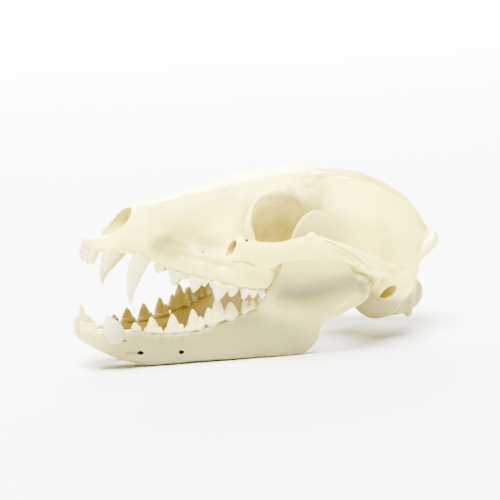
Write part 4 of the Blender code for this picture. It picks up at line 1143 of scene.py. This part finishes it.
@dataclass
class HalfJaw:
    """One half of the lower jaw."""

    side: Side
    voxel: float = 0.42
    midline: float = 0.15
    points_round: int = 56
    stations: tuple[tuple[float, ...], ...] = (
        (0.2, 10.2, 13.0, 1.8, 2.0, 1.9, 2.0),
        (2.0, 8.0, 13.4, 2.9, 3.1, 3.0, 3.1),
        (4.7, 6.1, 13.2, 3.6, 4.3, 3.9, 4.0),
        (8.0, 4.4, 12.4, 4.3, 5.6, 4.5, 4.0),
        (12.0, 2.6, 12.1, 5.2, 6.9, 4.4, 3.4),
        (16.0, 1.0, 11.8, 6.3, 8.0, 3.6, 2.9),
        (20.0, 0.0, 10.8, 7.5, 9.1, 3.2, 2.7),
        (26.0, 0.0, 10.1, 9.3, 10.5, 3.0, 2.6),
        (34.0, 0.25, 10.4, 11.6, 12.4, 3.0, 2.6),
        (40.0, 0.3, 12.2, 13.4, 13.6, 3.1, 2.7),
        (46.0, 0.25, 13.6, 15.1, 14.9, 3.0, 2.6),
        (52.0, 0.1, 16.0, 16.9, 16.6, 2.7, 2.3),
        (54.4, 0.1, 18.0, 17.7, 18.2, 2.6, 2.0),
        (56.4, 0.0, 21.8, 18.4, 19.6, 2.5, 1.6),
        (58.4, 0.0, 25.2, 19.2, 20.8, 2.4, 1.4),
        (60.2, 0.0, 28.2, 19.6, 21.6, 2.3, 1.4),
        (62.2, 0.0, 34.6, 20.1, 22.3, 2.2, 1.3),
        (65.2, 0.0, 41.8, 20.6, 22.9, 2.2, 1.2),
        (68.6, 1.0, 45.2, 21.2, 23.5, 2.1, 1.2),
        (71.4, 3.6, 46.0, 21.7, 24.0, 2.0, 1.2),
        (72.6, 7.2, 45.8, 22.0, 24.2, 1.9, 1.2),
        (74.2, 10.2, 44.9, 22.3, 24.2, 1.8, 1.2),
        (77.2, 11.8, 42.0, 22.8, 24.2, 1.7, 1.2),
        (80.4, 12.9, 35.4, 23.2, 24.0, 1.8, 1.3),
        (84.0, 13.9, 24.6, 23.5, 24.0, 2.0, 1.8),
        (87.0, 15.4, 22.6, 24.0, 24.0, 2.0, 2.0),
        (89.2, 17.4, 20.6, 24.2, 24.2, 1.2, 1.2),
    )

    def heap(self) -> Clay:
        """The plate of the jaw, its joint knob and the hook below it."""
        clay = Clay(side=self.side)
        x = np.linspace(self.stations[0][0], self.stations[-1][0], 150)
        rows = Track(self.stations).at(x)
        f = np.arange(self.points_round) * 2 * math.pi / self.points_round
        c, s = np.cos(f), np.sin(f)
        lift = np.sign(s) * np.abs(s) ** 0.8
        share = (lift + 1) / 2
        bottom, top, y_low, y_high, low, high = (rows[:, i, None] for i in range(6))
        y = y_low + (y_high - y_low) * share + (low + (high - low) * share) * np.sign(c) * np.abs(c) ** 0.7
        z = (bottom + top) / 2 + (top - bottom) / 2 * lift
        clay.skin(np.stack([np.repeat(x[:, None], self.points_round, 1), self.side.value * y, z], axis=2))
        clay.bar([(87.5, 17.0, 21.0), (87.0, 24, 21.2), (86.7, 29.2, 21.2)], (1.4, 2.4, 1.5), (1.4, 2.4, 1.5),
                 blunt=6)
        clay.bar([(78, 22.6, 14.9), (83.8, 22.4, 15.5), (88.4, 22.2, 16.9)], (1.6, 1.5, 0.8), (2.2, 1.7, 0.8))
        clay.bar([(87.2, 27.0, 20.4), (87.2, 26.6, 18.0), (84.6, 25.8, 15.6), (80.0, 24.8, 13.6),
                  (74.4, 23.4, 11.0)], (0.8, 1.1, 1.1, 1.0, 0.7), (0.9, 1.2, 1.3, 1.3, 1.0), steps=44)
        return clay

    def carve(self, chisel: Chisel) -> None:
        """The muscle hollow, the nerve openings, the ridges, ochre staining and painted shade."""
        chisel.side = self.side
        arcade, gum = Track(LowerTeeth.arcade), Track(LowerTeeth.gum)
        out = np.sign(chisel.normals[:, 1] * self.side.value)
        chisel.ripple(0.09, 6, 18, 5)
        before = chisel.co.copy()
        chisel.dent((73.0, 24.2, 23), (12.5, 6, 11), 1.5)
        chisel.dent((74, 24.2, 20.5), (14, 6, 5.0), 0.6)
        chisel.co = np.where(out[:, None] > 0, chisel.co, before)
        chisel.stroke([(71, 23.4, 11.0), (77, 24.6, 14.0), (83, 25.4, 16.6), (87, 25.0, 19)], 1.6, -0.5)
        chisel.stroke([(58.0, 21.0, 20), (60.5, 23.0, 30), (64, 24.2, 39), (68, 25.0, 44)], 1.8, -0.35)
        chisel.stroke([(12.2, 9.7, 5.4), (16.4, 10.3, 5.0)], 0.9, 0.35, line=0.75)
        chisel.stroke([(10.4, 9.5, 10.7), (11.4, 9.7, 10.2), (11.2, 9.8, 9.2)], 0.6, 0.3, line=0.85)
        chisel.wash(Paint.STAIN, (10.2, 7.6, 4.0), (5.2, 5.6, 2.6), 1.0, 0.5)
        chisel.wash(Paint.STAIN, (3.0, 5.0, 11.0), (6, 6, 3.4), 0.2, 0.9)
        # Painted shade: the body of the jaw darker, then a painted shadow band along the muscle hollow under the
        # arch, laid with the shade, line and staining paints.
        chisel.wash(Paint.SHADE, (38, 13, 2), (46, 30, 17.5), 0.84, 0.35)
        chisel.wash(Paint.SHADE, (74, 24, 20.2), (16, 8, 4.4), 0.7, 0.8)
        chisel.stroke([(61, 22.5, 20.6), (68, 22.8, 20.0), (75, 22.9, 20.2), (85, 26.6, 21.8)], 8.0, 0.35,
                      line=0.18, shade=1.0)
        chisel.stroke([(64, 22.6, 20.6), (70, 22.8, 20.6), (77, 23.0, 21.0), (84, 26.0, 22.0)], 5.0, 0.1,
                      stain=0.12)
        chisel.wash(Paint.STAIN, (86.6, 28, 22.8), (3, 3, 1.9), 0.6, 0.8)
        for step in range(7):
            z = 8.0 + 1.7 * step
            chisel.stroke([(57.6 + 0.3 * step, 21.4, z), (60.6 + 0.25 * step, 22.6, z + 0.5)], 0.5, 0.14, line=0.16)
        # Painted shade: dark lines pressed along the gum on both sides of the row, in the crevice where the teeth
        # meet the bone.
        for shift, tone in ((2.0, 0.34), (-2.0, 0.5)):
            chisel.stroke([(x, arcade.one(x) + shift, gum.one(x) - 0.5) for x in (15, 20, 25, 30, 36, 42, 48, 54)],
                          0.6, 0.1, line=tone)
        # Painted shade: the tongue's side of the jaw is darkened ochre with the staining paint, more on the right
        # side.
        inner = np.clip(-chisel.normals[:, 1] * self.side.value, 0, 1)
        chisel.lay(Paint.STAIN, inner * (1.0 if self.side is Side.RIGHT else 0.6))
        for x in (19.5, 22, 25, 28, 31.6, 34.6, 39, 45):
            chisel.dent((x, arcade.one(x) + 2.0, gum.one(x) - 2.4), (1.4, 2.6, 3.0), -0.28)

    def build(self) -> bpy.types.Object:
        """The half jaw, still in the jaw's frame."""
        made = self.heap().fuse(f"mandible_{self.side.label}", self.voxel, 6)
        chisel = Chisel(made)
        self.carve(chisel)
        chisel.calm()
        chisel.co[:, 2] = np.maximum(chisel.co[:, 2], 0.0)
        inside = chisel.co[:, 1] * self.side.value < self.midline
        chisel.co[inside, 1] = self.midline * self.side.value
        chisel.write()
        chisel.find_hollows()
        chisel.write()
        # The nerve openings, whose walls are painted dark as painted shade.
        return cut(made, [
            drill("opening", Paint.LINE, 0.95, path, wide, high, self.side, sides=24, steps=20)
            for path, wide, high in (
                ([(20.4, 5.2, 5.0), (17.8, 8.4, 4.9), (15.6, 11.0, 5.0)], (0.8, 1.0, 1.1), (0.6, 0.75, 0.75)),
                ([(31.0, 9.0, 4.3), (29.1, 12.6, 4.2), (27.6, 15.0, 4.2)], (0.7, 0.9, 0.9), (0.6, 0.75, 0.75)),
                ([(12.6, 7.0, 9.2), (11.8, 9.2, 9.3), (11.0, 11.4, 9.4)], (0.3, 0.45, 0.45), (0.3, 0.4, 0.4)),
            )])


@dataclass
class Studio:
    """The pale floor, the soft lights and the camera."""

    camera_at: Point = (-0.20153 - CENTRE_X * MM, -0.54122, 0.13711)
    right: Point = (0.8973, -0.44012, -0.0339)
    up: Point = (0.10656, 0.14145, 0.98419)
    lens: float = 137.25
    key: float = 29.0
    key_from: Point = (-0.16, -0.12, 0.98)
    key_softness: float = 42.0
    room: float = 0.25
    backdrop: float = 1800.0
    backdrop_size: float = 2.5
    backdrop_at: Point = (1.2, 3.4, 1.6)
    paper: Colour = (0.78, 0.78, 0.775)

    def floor(self) -> bpy.types.Object:
        """A wide pale floor."""
        mesh = bmesh.new()
        bmesh.ops.create_grid(mesh, x_segments=8, y_segments=8, size=4)
        made = as_object(mesh, "floor")
        paper = bpy.data.materials.new("pale floor")
        paper.use_nodes = True
        shader = paper.node_tree.nodes["Principled BSDF"]
        shader.inputs["Base Color"].default_value = (*self.paper, 1)
        shader.inputs["Roughness"].default_value = 0.9
        shader.inputs["Specular IOR Level"].default_value = 0.1
        made.data.materials.append(paper)
        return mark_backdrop(made) or made

    def lights(self) -> None:
        """One broad light from above the snout and a bright room."""
        lamp = bpy.data.lights.new("key", "SUN")
        lamp.energy, lamp.angle = self.key, math.radians(self.key_softness)
        made = bpy.data.objects.new("key", lamp)
        made.rotation_euler = Vector(self.key_from).to_track_quat("Z", "Y").to_euler()
        bpy.context.scene.collection.objects.link(made)
        lamp = bpy.data.lights.new("backdrop", "AREA")
        lamp.shape, lamp.size, lamp.energy = "SQUARE", self.backdrop_size, self.backdrop
        made = bpy.data.objects.new("backdrop", lamp)
        made.location = self.backdrop_at
        bpy.context.scene.collection.objects.link(made)
        world = bpy.data.worlds.new("room")
        world.use_nodes = True
        sky = world.node_tree.nodes["Background"]
        sky.inputs["Color"].default_value = (1, 1, 1, 1)
        sky.inputs["Strength"].default_value = self.room
        bpy.context.scene.world = world

    def camera(self) -> None:
        """The camera, at the photograph's viewpoint."""
        data = bpy.data.cameras.new("camera")
        data.lens, data.sensor_width, data.clip_start = self.lens, 36.0, 0.01
        made = bpy.data.objects.new("camera", data)
        right, up = Vector(self.right).normalized(), Vector(self.up).normalized()
        back = right.cross(up).normalized()
        up = back.cross(right)
        turn = Matrix((right, up, back)).transposed().to_4x4()
        made.matrix_world = Matrix.Translation(self.camera_at) @ turn
        bpy.context.scene.collection.objects.link(made)
        bpy.context.scene.camera = made


def dress(made: bpy.types.Object, finish: bpy.types.Material, node: str | None) -> None:
    """Gives a piece its finish, sets it on the model and lets it stand for its node."""
    made.data.materials.clear()
    made.data.materials.append(finish)
    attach(made, "root")
    if node:
        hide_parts(node)
    log.info("%s: %d faces", made.name, len(made.data.polygons))


def main() -> None:
    """Builds every piece in order."""
    logging.basicConfig(level=logging.INFO, format="%(name)s: %(message)s")
    bone, enamel = BoneFinish().build(), EnamelFinish().build()
    # The jaw's copy of the bone finish is darker throughout: painted shade, for the jaw gets less light than the
    # cranium.
    shaded_jaw_bone = BoneFinish("lower jaw bone", (0.66, 0.60, 0.14), (0.56, 0.49, 0.11),
                        olive=(0.18, 0.166, 0.056)).build()
    for name, piece in Cranium().build().items():
        dress(place(piece, Holder.CRANIUM, f"{name}_bone"), bone, name)
    for side in Side:
        dress(place(HalfJaw(side).build(), Holder.JAW, f"mandible_{side.label}_bone"), shaded_jaw_bone,
              f"mandible_{side.label}")
        dress(place(UpperTeeth().build(side), Holder.CRANIUM, f"upper_teeth_{side.label}"), enamel, None)
        dress(place(LowerTeeth().build(side), Holder.JAW, f"lower_teeth_{side.label}"), enamel, None)
    studio = Studio()
    studio.floor()
    studio.lights()
    studio.camera()


if __name__ == "__main__":
    main()
